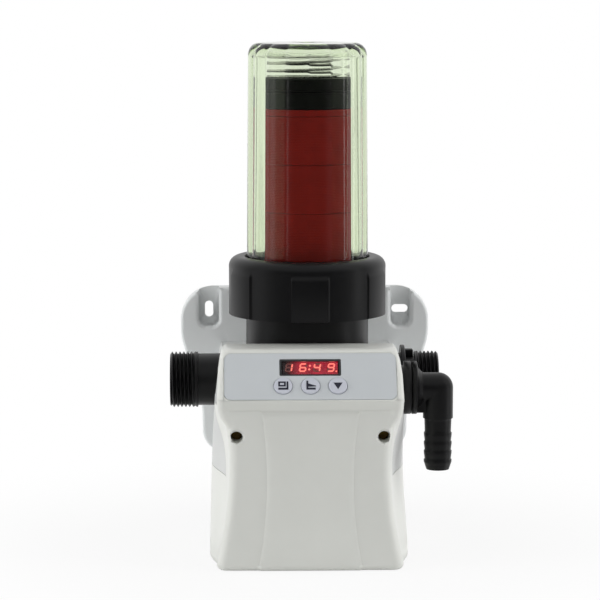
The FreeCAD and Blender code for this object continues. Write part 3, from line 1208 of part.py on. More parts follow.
# ---------------------------------------------------------------- the parts
def main():
    os.makedirs(OUT, exist_ok=True)
    outer = housing_form(0.0)
    shell = housing_shell()
    save("front_cover", front_cover(shell, outer))
    save("rear_shell", rear_shell(shell, outer))
    save("cover_screws", *[cover_screw(x) for x in (-SCREW_X, SCREW_X)])

    save("facia_panel", facia_panel())
    save("display_window", display_window())
    save("led_display", led_display())
    save("control_board", control_board())
    save("tact_switches", *[tact_switch(u) for u in BUTTON_US])
    for name, u in zip(("left", "middle", "right"), BUTTON_US):
        save("button_" + name, button(u))
        save("switch_plunger_" + name, switch_plunger(u))

    save("filter_head", filter_head())
    save("manifold_body", manifold_body())
    save("bowl_seal", bowl_seal())
    save("inlet_spigot", inlet_spigot())
    save("outlet_spigot", outlet_spigot())
    save("filter_core", filter_core())
    for k in range(DISC_PACKS):
        save(f"disc_pack_{k + 1}", disc_pack(DISC_BASE_Z + k * DISC_PACK_T, DISC_PACK_T - 0.05))
    save("disc_pack_top", disc_pack(stack_top() - DISC_TOP_PACK_T, DISC_TOP_PACK_T))
    save("clamp_cap", clamp_cap())
    save("disc_spring", spring_wire())

    save("bowl", bowl())
    save("slip_ring", slip_ring())
    save("collar_nut", collar_nut())

    save("drain_valve_body", drain_valve_body())
    save("valve_seats", *valve_seats())
    save("valve_ball", valve_ball())
    save("valve_stem", valve_stem())
    save("stem_seal", stem_seal())
    save("valve_gear", valve_gear())
    save("drain_elbow", drain_elbow())
    save("elbow_seal", elbow_seal())
    save("elbow_clip", elbow_clip())

    save("motor_pinion", motor_pinion())
    save("drive_frame", drive_frame())
    save("frame_screws", *frame_screws())
    save("gearbox_case", gearbox_case())
    save("motor_can", motor_can())

    save("wall_bracket", wall_bracket())
    save("bracket_screws", *[bracket_screw(x, z) for x, z in BRACKET_SCREWS])
    save("power_jack", power_jack())
    save("jack_nut", jack_nut())


main()
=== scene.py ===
# %% [markdown]
# # A self-flushing disc filter
# The object hangs on a wall and cleans the water of a house. Water runs through a stack of red
# grooved discs under a clear bowl. At a set time a small motor opens a drain valve, and the dirt
# leaves by the elbow at the front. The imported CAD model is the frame: each piece below takes its
# size and its place from it, and rides on one of its bodies, so that it moves as the CAD part does.

import json
import math

import bmesh
import bpy
from mathutils import Matrix, Vector

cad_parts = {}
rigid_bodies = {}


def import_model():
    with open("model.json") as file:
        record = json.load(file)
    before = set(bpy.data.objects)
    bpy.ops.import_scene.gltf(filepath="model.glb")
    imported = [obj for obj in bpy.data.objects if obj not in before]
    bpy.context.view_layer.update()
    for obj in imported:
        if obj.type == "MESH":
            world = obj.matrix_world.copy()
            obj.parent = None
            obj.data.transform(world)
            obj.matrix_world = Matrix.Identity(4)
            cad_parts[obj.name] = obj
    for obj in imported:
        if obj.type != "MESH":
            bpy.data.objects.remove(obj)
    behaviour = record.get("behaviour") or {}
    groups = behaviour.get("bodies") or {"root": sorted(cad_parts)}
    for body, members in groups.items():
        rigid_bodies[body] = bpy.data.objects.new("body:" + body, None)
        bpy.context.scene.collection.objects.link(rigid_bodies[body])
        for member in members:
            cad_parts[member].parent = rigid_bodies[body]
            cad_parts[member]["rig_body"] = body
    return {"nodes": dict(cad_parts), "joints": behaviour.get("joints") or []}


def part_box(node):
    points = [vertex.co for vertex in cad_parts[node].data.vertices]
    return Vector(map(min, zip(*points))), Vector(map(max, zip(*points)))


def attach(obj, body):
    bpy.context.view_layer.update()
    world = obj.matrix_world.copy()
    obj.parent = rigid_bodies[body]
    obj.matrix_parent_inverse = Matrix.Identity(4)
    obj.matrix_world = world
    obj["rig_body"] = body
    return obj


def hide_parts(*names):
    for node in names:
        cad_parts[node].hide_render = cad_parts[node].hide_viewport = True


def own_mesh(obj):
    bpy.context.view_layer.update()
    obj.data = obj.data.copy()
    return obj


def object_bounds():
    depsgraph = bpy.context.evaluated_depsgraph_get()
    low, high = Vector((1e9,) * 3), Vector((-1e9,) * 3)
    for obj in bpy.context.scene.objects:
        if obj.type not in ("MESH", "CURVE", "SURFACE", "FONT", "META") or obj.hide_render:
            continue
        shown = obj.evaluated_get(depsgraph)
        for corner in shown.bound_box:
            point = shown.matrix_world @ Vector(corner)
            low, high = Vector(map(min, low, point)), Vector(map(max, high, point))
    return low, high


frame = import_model()
CAD_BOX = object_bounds()
NODES = frame["nodes"]
JOINTS = {joint["name"]: joint for joint in frame["joints"]}
MM = 0.001
X, Z = Vector((1, 0, 0)), Vector((0, 0, 1))
print("CAD box, mm:", [[round(v / MM, 1) for v in corner] for corner in CAD_BOX])

# %% [markdown]
# ## Sizes that every step uses
# The frame gives each node's lowest and highest corner. Each piece takes its place and its outer
# size from there, so that it stays on its CAD part. Finer sizes, such as a rim or a groove, stand
# by name at the top of the cell that uses them.

# %% Read the main places
def low(node):
    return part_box(node)[0]


def high(node):
    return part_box(node)[1]


def centre(node):
    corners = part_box(node)
    return (corners[0] + corners[1]) / 2


def half(node):
    """Half of a node's size along each axis."""
    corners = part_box(node)
    return (corners[1] - corners[0]) / 2


PORT = Vector((0, 0, centre("inlet_spigot").z))
print("port axis height, mm:", round(PORT.z / MM, 2))

# %% [markdown]
# ## From a bmesh to a finished piece
# A bmesh is Blender's editable mesh. When it has its shape, doubles are merged and the normals are
# turned outwards, or light would fall on the wrong side. Round stretches are shaded smooth, and an
# edge sharper than a given angle stays crisp. Then the piece is put on the body of its CAD node,
# and that node is hidden when the piece replaces it.

# %% Helpers that finish a piece
MERGE = 0.0001 * MM
CAD_MERGE = 0.002 * MM


def link_piece(name, bm, material, node, replace, angle):
    """Turns bm into an object on the body of a CAD node, and hides the node if the piece replaces
    it.
    """
    mesh = bpy.data.meshes.new(name)
    bm.to_mesh(mesh)
    bm.free()
    mesh.shade_smooth()
    mesh.set_sharp_from_angle(angle=math.radians(angle))
    piece = bpy.data.objects.new(name, mesh)
    bpy.context.scene.collection.objects.link(piece)
    piece.data.materials.append(material)
    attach(piece, NODES[node]["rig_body"])
    if replace:
        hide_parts(node)
    return piece


def finish_piece(name, bm, material, node, replace=True, angle=32):
    """Merges doubles, turns the normals outwards and links the piece."""
    bmesh.ops.remove_doubles(bm, verts=bm.verts, dist=MERGE)
    bmesh.ops.recalc_face_normals(bm, faces=bm.faces)
    return link_piece(name, bm, material, node, replace, angle)


def dressed(node, material, angle):
    """A clean copy of a CAD node's mesh: triangles merged, rounds smooth, flats kept flat."""
    bm = bmesh.new()
    bm.from_mesh(NODES[node].data)
    bmesh.ops.remove_doubles(bm, verts=bm.verts, dist=CAD_MERGE)
    piece = link_piece(node + "_dressed", bm, material, node, True, angle)
    even = piece.modifiers.new("even_shading", "WEIGHTED_NORMAL")
    even.mode = "FACE_AREA"
    even.weight = 50
    even.keep_sharp = True
    return piece


def lathe(profile, steps=96):
    """Spins a closed outline of (radius, height) pairs about Z into a ring or a solid."""
    bm = bmesh.new()
    verts = [bm.verts.new((r, 0, h)) for r, h in profile]
    loop = verts + verts[:1]
    edges = [bm.edges.new(pair) for pair in zip(loop, loop[1:])]
    bmesh.ops.spin(bm, geom=verts + edges, cent=(0, 0, 0), axis=Z, angle=2 * math.pi,
                   steps=steps, use_merge=True)
    bmesh.ops.remove_doubles(bm, verts=bm.verts, dist=MERGE)
    return bm


def arc(cx, cy, r, start, end, count):
    """Points on an arc in the profile plane, angles in degrees."""
    angles = [math.radians(start + (end - start) * i / count) for i in range(count + 1)]
    return [(cx + r * math.cos(angle), cy + r * math.sin(angle)) for angle in angles]


def smooth_step(share):
    """Eases a share: zero below zero, one above one, and a soft S between."""
    share = min(1.0, max(0.0, share))
    return share * share * (3 - 2 * share)


def move_to_radius(vert, r, new_r):
    """Moves a vertex at radius r from the Z axis straight in or out."""
    vert.co.x *= new_r / r
    vert.co.y *= new_r / r


print("helpers ready")

# %% [markdown]
# ## Short words for shader nodes
# A node tree is a lot of small boxes and wires. These helpers add one box with its wires and give
# back the socket that comes out of it, so a material reads from the inside out like a formula.

# %% Helpers for shader nodes
SOFT = "SMOOTHSTEP"


def add(tree, kind, **values):
    """A new node. A name that is one of its inputs sets that input, any other a property."""
    node = tree.nodes.new(kind)
    for key, value in values.items():
        if key in node.inputs:
            node.inputs[key].default_value = value
        else:
            setattr(node, key, value)
    return node


def calc(tree, operation, *values, clamp=False):
    """A maths node. Each value is a socket to link or a plain number."""
    node = add(tree, "ShaderNodeMath", operation=operation, use_clamp=clamp)
    for value, target in zip(values, node.inputs):
        if isinstance(value, bpy.types.NodeSocket):
            tree.links.new(value, target)
        else:
            target.default_value = value
    return node.outputs[0]


def ranged(tree, value, start, end, low_value=0.0, high_value=1.0, kind="LINEAR"):
    """Maps start..end to low_value..high_value."""
    node = add(tree, "ShaderNodeMapRange", interpolation_type=kind)
    numbers = {"From Min": start, "From Max": end, "To Min": low_value, "To Max": high_value}
    for name, number in numbers.items():
        node.inputs[name].default_value = number
    tree.links.new(value, node.inputs["Value"])
    return node.outputs["Result"]


def own_place(tree, stretch=None):
    """Object coordinates, with a scale for each axis where a pattern is squeezed or drawn out."""
    place = add(tree, "ShaderNodeTexCoord").outputs["Object"]
    if stretch is None:
        return place
    turn = add(tree, "ShaderNodeMapping", Scale=stretch)
    tree.links.new(place, turn.inputs["Vector"])
    return turn.outputs["Vector"]


def noise(tree, place, scale, detail, roughness=0.5):
    node = add(tree, "ShaderNodeTexNoise", Scale=scale, Detail=detail, Roughness=roughness)
    tree.links.new(place, node.inputs["Vector"])
    return node.outputs["Fac"]


def two_tone(tree, value, dark, light, start=0.0, end=1.0):
    """Goes from one colour to another as a value goes from start to end."""
    node = add(tree, "ShaderNodeValToRGB")
    for step, at, color in zip(node.color_ramp.elements, (start, end), (dark, light)):
        step.position = at
        step.color = (*color, 1)
    tree.links.new(value, node.inputs["Fac"])
    return node.outputs["Color"]


print("node helpers ready")

# %% [markdown]
# ## Effects shared by the finishes
# Moulded plastic is never one flat colour: it has a fine grain from the mould, a faint mottling and
# some dust. That is one node group with inputs for the colour, the grain's size and its depth. It
# gives out a colour, a roughness and a normal, and the shader itself stays in each material.

# %% The group for moulded surfaces
def socket(group, name, kind, out=False, default=None):
    item = group.interface.new_socket(name, in_out="OUTPUT" if out else "INPUT", socket_type=kind)
    if default is not None:
        item.default_value = default


def moulded_group():
    group = bpy.data.node_groups.new("moulded_surface", "ShaderNodeTree")
    socket(group, "Color", "NodeSocketColor", default=(0.5, 0.5, 0.5, 1))
    socket(group, "Mottling", "NodeSocketFloat", default=0.04)
    socket(group, "Roughness", "NodeSocketFloat", default=0.4)
    socket(group, "Grain per metre", "NodeSocketFloat", default=2500.0)
    socket(group, "Grain depth", "NodeSocketFloat", default=0.02)
    socket(group, "Color", "NodeSocketColor", out=True)
    socket(group, "Roughness", "NodeSocketFloat", out=True)
    socket(group, "Normal", "NodeSocketVector", out=True)
    link = group.links.new
    enter = add(group, "NodeGroupInput").outputs
    leave = add(group, "NodeGroupOutput").inputs
    place = own_place(group)
    cloud = ranged(group, noise(group, place, 38.0, 3.0, 0.6), 0.3, 0.7, -0.5, 0.5)
    tint = add(group, "ShaderNodeVectorMath", operation="SCALE")
    link(enter["Color"], tint.inputs[0])
    link(calc(group, "MULTIPLY_ADD", cloud, enter["Mottling"], 1.0), tint.inputs["Scale"])
    link(tint.outputs[0], leave["Color"])
    link(calc(group, "MULTIPLY_ADD", cloud, 0.08, enter["Roughness"]), leave["Roughness"])
    grain = add(group, "ShaderNodeTexNoise", Detail=2.0, Roughness=0.5)
    link(place, grain.inputs["Vector"])
    link(enter["Grain per metre"], grain.inputs["Scale"])
    bump = add(group, "ShaderNodeBump", Strength=0.5)
    link(enter["Grain depth"], bump.inputs["Distance"])
    link(grain.outputs["Fac"], bump.inputs["Height"])
    link(bump.outputs["Normal"], leave["Normal"])
    return group


MOULDED = moulded_group()
print("group made:", MOULDED.name)

# %% [markdown]
# ## The plastics
# One function builds every opaque plastic from the group above. Each finish gets its own colour,
# gloss and grain: the cover is smooth and glossy, the head is black and satin, and the bracket is
# matt with a coarser grain.

# %% A function for plastics, and the finishes
def new_material(name):
    material = bpy.data.materials.new(name)
    material.use_nodes = True
    tree = material.node_tree
    shader = tree.nodes["Principled BSDF"]
    return material, tree, shader


def plastic(name, color, roughness, mottling, grain, depth, coat=0.0, mirror=0.5):
    """An opaque plastic: grain is in bumps a metre, depth in millimetres."""
    material, tree, shader = new_material(name)
    surface = add(tree, "ShaderNodeGroup", node_tree=MOULDED)
    settings = {"Color": (*color, 1), "Mottling": mottling, "Roughness": roughness,
                "Grain per metre": grain, "Grain depth": depth * MM}
    for key, value in settings.items():
        surface.inputs[key].default_value = value
    for out, target in (("Color", "Base Color"), ("Roughness", "Roughness"), ("Normal", "Normal")):
        tree.links.new(surface.outputs[out], shader.inputs[target])
    shader.inputs["Coat Weight"].default_value = coat
    shader.inputs["Coat Roughness"].default_value = 0.25
    shader.inputs["Specular IOR Level"].default_value = mirror
    material.diffuse_color = (*color, 1)
    return material


COVER_WHITE = plastic("cover_white", (0.74, 0.75, 0.71), 0.33, 0.03, 1800.0, 0.012, coat=0.12)
SHELL_GREY = plastic("shell_grey", (0.64, 0.65, 0.64), 0.48, 0.04, 2200.0, 0.03)
BRACKET_GREY = plastic("bracket_grey", (0.77, 0.79, 0.79), 0.45, 0.05, 2000.0, 0.03)
FACIA_SILVER = plastic("facia_silver", (0.58, 0.61, 0.63), 0.42, 0.03, 4000.0, 0.008)
BLACK_SATIN = plastic("black_satin", (0.0045, 0.0045, 0.005), 0.36, 0.25, 2600.0, 0.02, mirror=0.26)
BLACK_MATT = plastic("black_matt", (0.010, 0.010, 0.011), 0.5, 0.3, 2400.0, 0.03, mirror=0.2)
DISC_RED = plastic("disc_red", (0.42, 0.014, 0.011), 0.5, 0.2, 1600.0, 0.02, mirror=0.12)
BUTTON_GREY = plastic("button_grey", (0.58, 0.60, 0.67), 0.3, 0.03, 3000.0, 0.006)
RUBBER = plastic("seal_rubber", (0.012, 0.012, 0.012), 0.6, 0.2, 1500.0, 0.02)
WAXY_WHITE = plastic("waxy_white", (0.76, 0.75, 0.70), 0.35, 0.04, 1500.0, 0.01)
GEAR_WHITE = plastic("gear_white", (0.72, 0.69, 0.58), 0.4, 0.04, 1500.0, 0.01)
BOARD_GREEN = plastic("board_green", (0.012, 0.09, 0.04), 0.3, 0.15, 3500.0, 0.01)
ICON_INK = plastic("icon_ink", (0.010, 0.010, 0.025), 0.5, 0.1, 3000.0, 0.004)
FRAME_INK = plastic("window_frame_ink", (0.020, 0.022, 0.024), 0.35, 0.1, 3000.0, 0.004)
print("plastics made")

# %% [markdown]
# ## Metals
# Drawn wire and turned brass show fine lines, so their colour and their roughness follow a noise
# that is squeezed along one axis.

# %% Metals
def metal(name, color, roughness, stretch, dirt=0.25):
    material, tree, shader = new_material(name)
    lines = noise(tree, own_place(tree, stretch), 400.0, 4.0)
    shades = two_tone(tree, lines, [c * (1 - dirt) for c in color], color, 0.3, 0.7)
    tree.links.new(shades, shader.inputs["Base Color"])
    rough = ranged(tree, lines, 0.0, 1.0, roughness - 0.08, roughness + 0.1)
    tree.links.new(rough, shader.inputs["Roughness"])
    shader.inputs["Metallic"].default_value = 1.0
    return material


SPRING_STEEL = metal("spring_steel", (0.60, 0.60, 0.58), 0.25, (1, 1, 6))
PLATED_STEEL = metal("plated_steel", (0.55, 0.56, 0.56), 0.3, (1, 1, 1))
ROLLED_STEEL = metal("rolled_steel", (0.50, 0.51, 0.52), 0.35, (1, 1, 8))
DULL_BRASS = metal("dull_brass", (0.16, 0.10, 0.03), 0.5, (1, 6, 1), 0.5)
print("metals made")

# %% [markdown]
# ## The clear plastic of the bowl
# The bowl has a real wall, so its shader only needs transmission and an index of refraction. The
# pale green comes from what the wall absorbs: a thin stretch stays clear, and the edges, where
# light crosses more plastic, turn green. Faint upright ripples stand for the flow in the mould.

# %% The material of the clear bowl
def clear_plastic():
    material, tree, shader = new_material("bowl_clear")
    ripple = noise(tree, own_place(tree, (1, 1, 0.02)), 110.0, 1.0)
    bump = add(tree, "ShaderNodeBump", Strength=0.3, Distance=0.12 * MM)
    tree.links.new(ripple, bump.inputs["Height"])
    tree.links.new(bump.outputs["Normal"], shader.inputs["Normal"])
    shader.inputs["Base Color"].default_value = (0.97, 0.985, 0.95, 1)
    shader.inputs["Roughness"].default_value = 0.02
    shader.inputs["IOR"].default_value = 1.46
    shader.inputs["Transmission Weight"].default_value = 1.0
    tint = add(tree, "ShaderNodeVolumeAbsorption", Color=(0.66, 0.79, 0.45, 1), Density=85.0)
    tree.links.new(tint.outputs["Volume"], tree.nodes["Material Output"].inputs["Volume"])
    return material


BOWL_CLEAR = clear_plastic()
print("clear plastic made")

# %% [markdown]
# ## The clear bowl
# The real bowl is moulded in one piece: a flange at its foot, a wall with sixteen soft lobes
# outside and a smooth bore, and a roof whose rim carries the lobes on. It is spun as a plain
# closed outline first. Then each outer vertex is drawn in between the lobes, which is far easier
# than modelling one lobe and joining sixteen of them.

# %% Spin the bowl and press the lobes into it
LOBES = 16
STEPS_PER_LOBE = 14
LOBE_DEPTH = 1.0 * MM
LOBE_FADE = 4.0 * MM
bowl_low, bowl_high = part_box("bowl")
FLANGE_R = half("bowl").x
FLANGE_TOP = bowl_low.z + 5.0 * MM
FLANGE_EDGE = 0.5 * MM
FOOT_FILLET = 1.2 * MM
WALL_BORE_R = 32.2 * MM
BORE_MIDDLE = bowl_low.z + 90 * MM
BORE_EDGE = 0.4 * MM
WALL_FOOT_R = 36.4 * MM
WALL_TOP_R = 35.5 * MM
WALL_ROWS = 20
SHOULDER = 7.0 * MM
ROOF_UNDER = bowl_high.z - 4.0 * MM
ROOF_ROUND = 5.0 * MM
ROOF_RINGS = (24 * MM, 16 * MM, 4.2 * MM)
DIMPLE = ((3.6 * MM, 0.5 * MM), (0.0, 0.6 * MM))


def bowl_outline():
    """The bowl's closed outline, radius and height, from the flange's foot and back."""
    top = bowl_high.z
    outline = [(FLANGE_R - FLANGE_EDGE, bowl_low.z), (FLANGE_R, bowl_low.z + FLANGE_EDGE),
               (FLANGE_R, FLANGE_TOP - FLANGE_EDGE), (FLANGE_R - FLANGE_EDGE, FLANGE_TOP)]
    outline += arc(WALL_FOOT_R + FOOT_FILLET, FLANGE_TOP + FOOT_FILLET, FOOT_FILLET, 270, 180, 4)
    wall_start, wall_end = FLANGE_TOP + FOOT_FILLET, top - SHOULDER
    for i in range(1, WALL_ROWS):
        share = i / WALL_ROWS
        outline.append((WALL_FOOT_R + (WALL_TOP_R - WALL_FOOT_R) * share,
                        wall_start + (wall_end - wall_start) * share))
    outline += arc(WALL_TOP_R - SHOULDER, wall_end, SHOULDER, 0, 90, 12)
    outline += [(r, top) for r in ROOF_RINGS] + [(r, top - sunk) for r, sunk in DIMPLE]
    outline += [(0.0, ROOF_UNDER), (14 * MM, ROOF_UNDER)]
    outline += arc(WALL_BORE_R - ROOF_ROUND, ROOF_UNDER - ROOF_ROUND, ROOF_ROUND, 90, 0, 8)
    outline += [(WALL_BORE_R, BORE_MIDDLE), (WALL_BORE_R, bowl_low.z + BORE_EDGE),
                (WALL_BORE_R + BORE_EDGE, bowl_low.z)]
    return outline


def press_lobes(bm):
    """Moves the wall's outer vertices inwards between the lobes, most over the shoulder."""
    wall_middle, roof_middle = WALL_BORE_R + 1.5 * MM, ROOF_UNDER + 1.0 * MM
    smallest_r, lowest = 6 * MM, FLANGE_TOP + 0.3 * MM
    for vert in bm.verts:
        r = math.hypot(vert.co.x, vert.co.y)
        outside = r > wall_middle or vert.co.z > roof_middle
        if not outside or r < smallest_r or vert.co.z < lowest:
            continue
        fade = min(1.0, (vert.co.z - FLANGE_TOP) / LOBE_FADE)
        turn = math.atan2(vert.co.y, vert.co.x) / (2 * math.pi) * LOBES
        across = (turn % 1.0) - 0.5
        dip = LOBE_DEPTH * fade * 4 * across * across
        over = max(0.0, (vert.co.z - bowl_high.z + SHOULDER) / SHOULDER)
        move_to_radius(vert, r, r - dip * (1.0 + 0.8 * over))


bm = lathe(bowl_outline(), steps=LOBES * STEPS_PER_LOBE)
press_lobes(bm)
bowl = finish_piece("clear_bowl", bm, BOWL_CLEAR, "bowl", angle=40)
print("bowl faces:", len(bowl.data.polygons))

# %% [markdown]
# ## The lock nut
# The nut that holds the bowl is a thick black ring. Its top edge is a large round, and below that
# six raised pads alternate with shallow recesses, so that a wet hand can grip it. The ring is
# spun in many steps, then the vertices of the recesses are set back. Each pad has short slopes at
# its sides, and at its top it fades into the ring.

# %% Spin the nut and set the recesses back
nut_low, nut_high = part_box("collar_nut")
NUT_R = 47.9 * MM
NUT_RING_R = 46.8 * MM
NUT_BORE_R = 41.0 * MM
NUT_BORE_EDGE = 0.5 * MM
NUT_LIP_R = 37.1 * MM
NUT_LIP_T = 3.48 * MM
NUT_LIP_EDGE = 0.8 * MM
NUT_ROUND = 6.0 * MM
NUT_STEPS = 480
RECESS = 1.15 * MM
RING_FOOT = nut_low.z + 27.8 * MM
PADS = 6
PAD_HALF = math.radians(12.7)
PAD_TURN = math.radians(0.8)
PAD_SLOPE = math.radians(1.1)
PAD_FADE = 4.0 * MM
FADE_ROWS = 5


def nut_outline():
    top, foot = nut_high.z, nut_low.z
    lip = top - NUT_LIP_T
    outline = [(NUT_BORE_R + NUT_BORE_EDGE, foot), (NUT_R - 1.0 * MM, foot),
               (NUT_R - 0.3 * MM, foot + 0.3 * MM), (NUT_R, foot + 1.0 * MM)]
    for i in range(FADE_ROWS + 1):
        share = i / FADE_ROWS
        outline.append((NUT_R + (NUT_RING_R - NUT_R) * smooth_step(share),
                        RING_FOOT - PAD_FADE * (1 - share)))
    outline += arc(NUT_RING_R - NUT_ROUND, top - NUT_ROUND, NUT_ROUND, 0, 90, 14)
    outline += arc(NUT_LIP_R + NUT_LIP_EDGE, top - NUT_LIP_EDGE, NUT_LIP_EDGE, 90, 180, 4)
    outline += [(NUT_LIP_R, lip), (NUT_BORE_R, lip), (NUT_BORE_R, foot + NUT_BORE_EDGE)]
    return outline


def set_recesses_back(bm):
    """Vertices between the pads move in by the recess, with a short slope at each edge."""
    pitch = 2 * math.pi / PADS
    smallest_r, highest = NUT_BORE_R + 2 * MM, RING_FOOT - 0.4 * MM
    for vert in bm.verts:
        r = math.hypot(vert.co.x, vert.co.y)
        if r < smallest_r or vert.co.z > highest:
            continue
        turn = (math.atan2(vert.co.y, vert.co.x) + math.pi / 2 - PAD_TURN + pitch / 2) % pitch
        share = smooth_step((abs(turn - pitch / 2) - PAD_HALF) / PAD_SLOPE)
        move_to_radius(vert, r, r + (NUT_R - RECESS - r) * share)


bm = lathe(nut_outline(), steps=NUT_STEPS)
set_recesses_back(bm)
nut = finish_piece("lock_nut", bm, BLACK_SATIN, "collar_nut", angle=40)
print("nut faces:", len(nut.data.polygons))

# %% [markdown]
# ## The disc stack
# Many thin discs make up each pack, and water passes through the fine grooves between them. Only
# their edges show through the bowl, as faint lines. A comb-shaped outline, spun once round, gives
# every disc a flat rim between two slopes, so that the grooves catch the light as real ones do.

# %% Spin one comb for each pack
DISC_PITCH = 0.95 * MM
DISC_BORE_R = 18.0 * MM
DISC_GROOVE = 0.10 * MM
PACK_GAP = 0.12 * MM


def comb_outline(foot, top, r):
    """A closed outline with one flat-topped tooth for each disc."""
    count = max(2, round((top - foot) / DISC_PITCH))
    pitch = (top - foot) / count
    outline = [(DISC_BORE_R, foot)]
    for i in range(count):
        z = foot + i * pitch
        outline += [(r - DISC_GROOVE, z), (r, z + 0.28 * pitch), (r, z + 0.72 * pitch)]
    outline += [(r - DISC_GROOVE, top), (DISC_BORE_R, top)]
    return outline


for node in ("disc_pack_1", "disc_pack_2", "disc_pack_3", "disc_pack_4", "disc_pack_top"):
    bm = lathe(comb_outline(low(node).z + PACK_GAP, high(node).z - PACK_GAP, half(node).x))
    piece = finish_piece(node + "_grooved", bm, DISC_RED, node, angle=50)
print("disc faces in the last pack:", len(piece.data.polygons))

# %% [markdown]
# ## The clamp cap
# A black cap in two tiers presses the discs together. A narrow groove parts the tiers, and a round
# channel in the top seats the spring.

# %% Spin the cap
cap_low, cap_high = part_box("clamp_cap")
CAP_R = half("clamp_cap").x
CAP_EDGE = 0.4 * MM
CAP_ROUND = 0.9 * MM
CAP_ROOF = cap_high.z - 4.2 * MM
CAP_BORE_R = 17.95 * MM
TIER_STEP = 0.9 * MM
TIER_FLAT = 0.3 * MM
TIER_Z = cap_low.z + 10.2 * MM
SEAT_Z = cap_high.z - 1.2 * MM
SEAT_OUTER = (22.4 * MM, 22.2 * MM)
SEAT_INNER = (17.8 * MM, 16.8 * MM)


def cap_outline():
    outline = [(CAP_BORE_R, cap_low.z), (CAP_R - CAP_EDGE, cap_low.z),
               (CAP_R, cap_low.z + CAP_EDGE), (CAP_R, TIER_Z - TIER_STEP),
               (CAP_R - TIER_STEP, TIER_Z - TIER_FLAT),
               (CAP_R - TIER_STEP, TIER_Z + TIER_FLAT), (CAP_R, TIER_Z + TIER_STEP)]
    outline += arc(CAP_R - CAP_ROUND, cap_high.z - CAP_ROUND, CAP_ROUND, 0, 90, 4)
    outline += [(SEAT_OUTER[0], cap_high.z), (SEAT_OUTER[1], SEAT_Z), (SEAT_INNER[0], SEAT_Z),
                (SEAT_INNER[1], cap_high.z), (0.0, cap_high.z), (0.0, CAP_ROOF),
                (CAP_BORE_R, CAP_ROOF)]
    return outline


bm = lathe(cap_outline())
cap = finish_piece("clamp_cap_round", bm, BLACK_SATIN, "clamp_cap", angle=35)
print("cap faces:", len(cap.data.polygons))

# %% [markdown]
# ## The spring
# A coil spring between the cap and the bowl's roof pushes the cap down. It is a small circle spun
# three turns while it climbs, which is what the spin operator's dvec is for. Its ends lie flat, as
# ground spring ends do.

# %% Wind the spring
WIRE_R = 0.8 * MM
COIL_R = half("disc_spring").x - WIRE_R
coil_low, coil_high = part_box("disc_spring")
FLAT_TURNS = 0.8
FLAT_CLIMB = 1.7 * WIRE_R * FLAT_TURNS
RISING_TURNS = 3.0
STEPS_PER_TURN = 36


def wind(bm, edges, turns, climb):
    """Spins a ring of edges on by so many turns, rising by climb in all."""
    steps = round(turns * STEPS_PER_TURN)
    made = bmesh.ops.spin(bm, geom=edges, cent=(0, 0, 0), axis=Z, dvec=(0, 0, climb / steps),
                          angle=2 * math.pi * turns, steps=steps)
    return [item for item in made["geom_last"] if isinstance(item, bmesh.types.BMEdge)]


def coil():
    bm = bmesh.new()
    start = Matrix.Translation((COIL_R, 0, coil_low.z + WIRE_R))
    upright = Matrix.Rotation(math.pi / 2, 4, "X")
    ring = bmesh.ops.create_circle(bm, segments=12, radius=WIRE_R, matrix=start @ upright)
    first = last = list({edge for vert in ring["verts"] for edge in vert.link_edges})
    room = coil_high.z - coil_low.z - 2 * WIRE_R
    for turns, climb in ((FLAT_TURNS, FLAT_CLIMB), (RISING_TURNS, room - 2 * FLAT_CLIMB),
                         (FLAT_TURNS, FLAT_CLIMB)):
        last = wind(bm, last, turns, climb)
    bmesh.ops.holes_fill(bm, edges=first + last, sides=0)
    return bm


spring = finish_piece("disc_spring_coil", coil(), SPRING_STEEL, "disc_spring", angle=60)
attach(spring, "base")
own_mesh(spring)

# %% [markdown]
# ## The threaded spigots
# Water pipes screw onto two G1 threads. A true thread is a helix, and it needs no sweep: the end is
# spun with many close rings, and each vertex is then set in by a tooth whose phase follows both
# its height and its turn. The thread fades out over the last turn and a half, as a cut one does.

# %% Functions for a threaded pipe end
THREAD_R = half("inlet_spigot").z
THREAD_PITCH = 2.309 * MM
THREAD_DEPTH = 1.4 * MM
THREAD_CHAMFER = 1.2 * MM
THREAD_FADE = 1.5 * THREAD_PITCH
ROWS_PER_PITCH = 10
PIPE_R = 15.5 * MM
PLUG_R = 13.6 * MM
PLUG_END = 46.0 * MM
PORT_BORE_R = 11.6 * MM
MOUTH_EDGE = 0.8 * MM


def thread_rows(start, mouth):
    """Close rows of (radius, height) between start and the chamfered mouth."""
    rows = round((mouth - start) / THREAD_PITCH * ROWS_PER_PITCH)
    heights = [start + (mouth - start) * i / rows for i in range(rows + 1)]
    return [(THREAD_R - max(0.0, THREAD_CHAMFER - (mouth - h)), h) for h in heights]


def cut_thread(bm, start):
    for vert in bm.verts:
        r = math.hypot(vert.co.x, vert.co.y)
        if vert.co.z < start - 0.001 * MM or r < PORT_BORE_R + 1.5 * MM:
            continue
        turn = math.atan2(vert.co.y, vert.co.x) / (2 * math.pi)
        phase = (vert.co.z / THREAD_PITCH - turn) % 1.0
        tooth = min(1.0, max(0.0, 1.35 * abs(2 * phase - 1) - 0.15))
        fade = min(1.0, (vert.co.z - start) / THREAD_FADE)
        move_to_radius(vert, r, min(r, THREAD_R - THREAD_DEPTH * (1 - tooth) * fade))


def threaded_end(node, stem, start, mouth, axis):
    """Spins a stem and its mouth, cuts the thread and lays the piece along the port's axis."""
    outline = stem + thread_rows(start, mouth)
    outline += [(PORT_BORE_R + MOUTH_EDGE, mouth), (PORT_BORE_R, mouth - MOUTH_EDGE)]
    bm = lathe(outline, steps=120)
    cut_thread(bm, start)
    turn = Z.rotation_difference(axis).to_matrix().to_4x4()
    bm.transform(Matrix.Translation(PORT) @ turn)
    return finish_piece(node.replace("spigot", "threaded"), bm, BLACK_SATIN, node, angle=40)


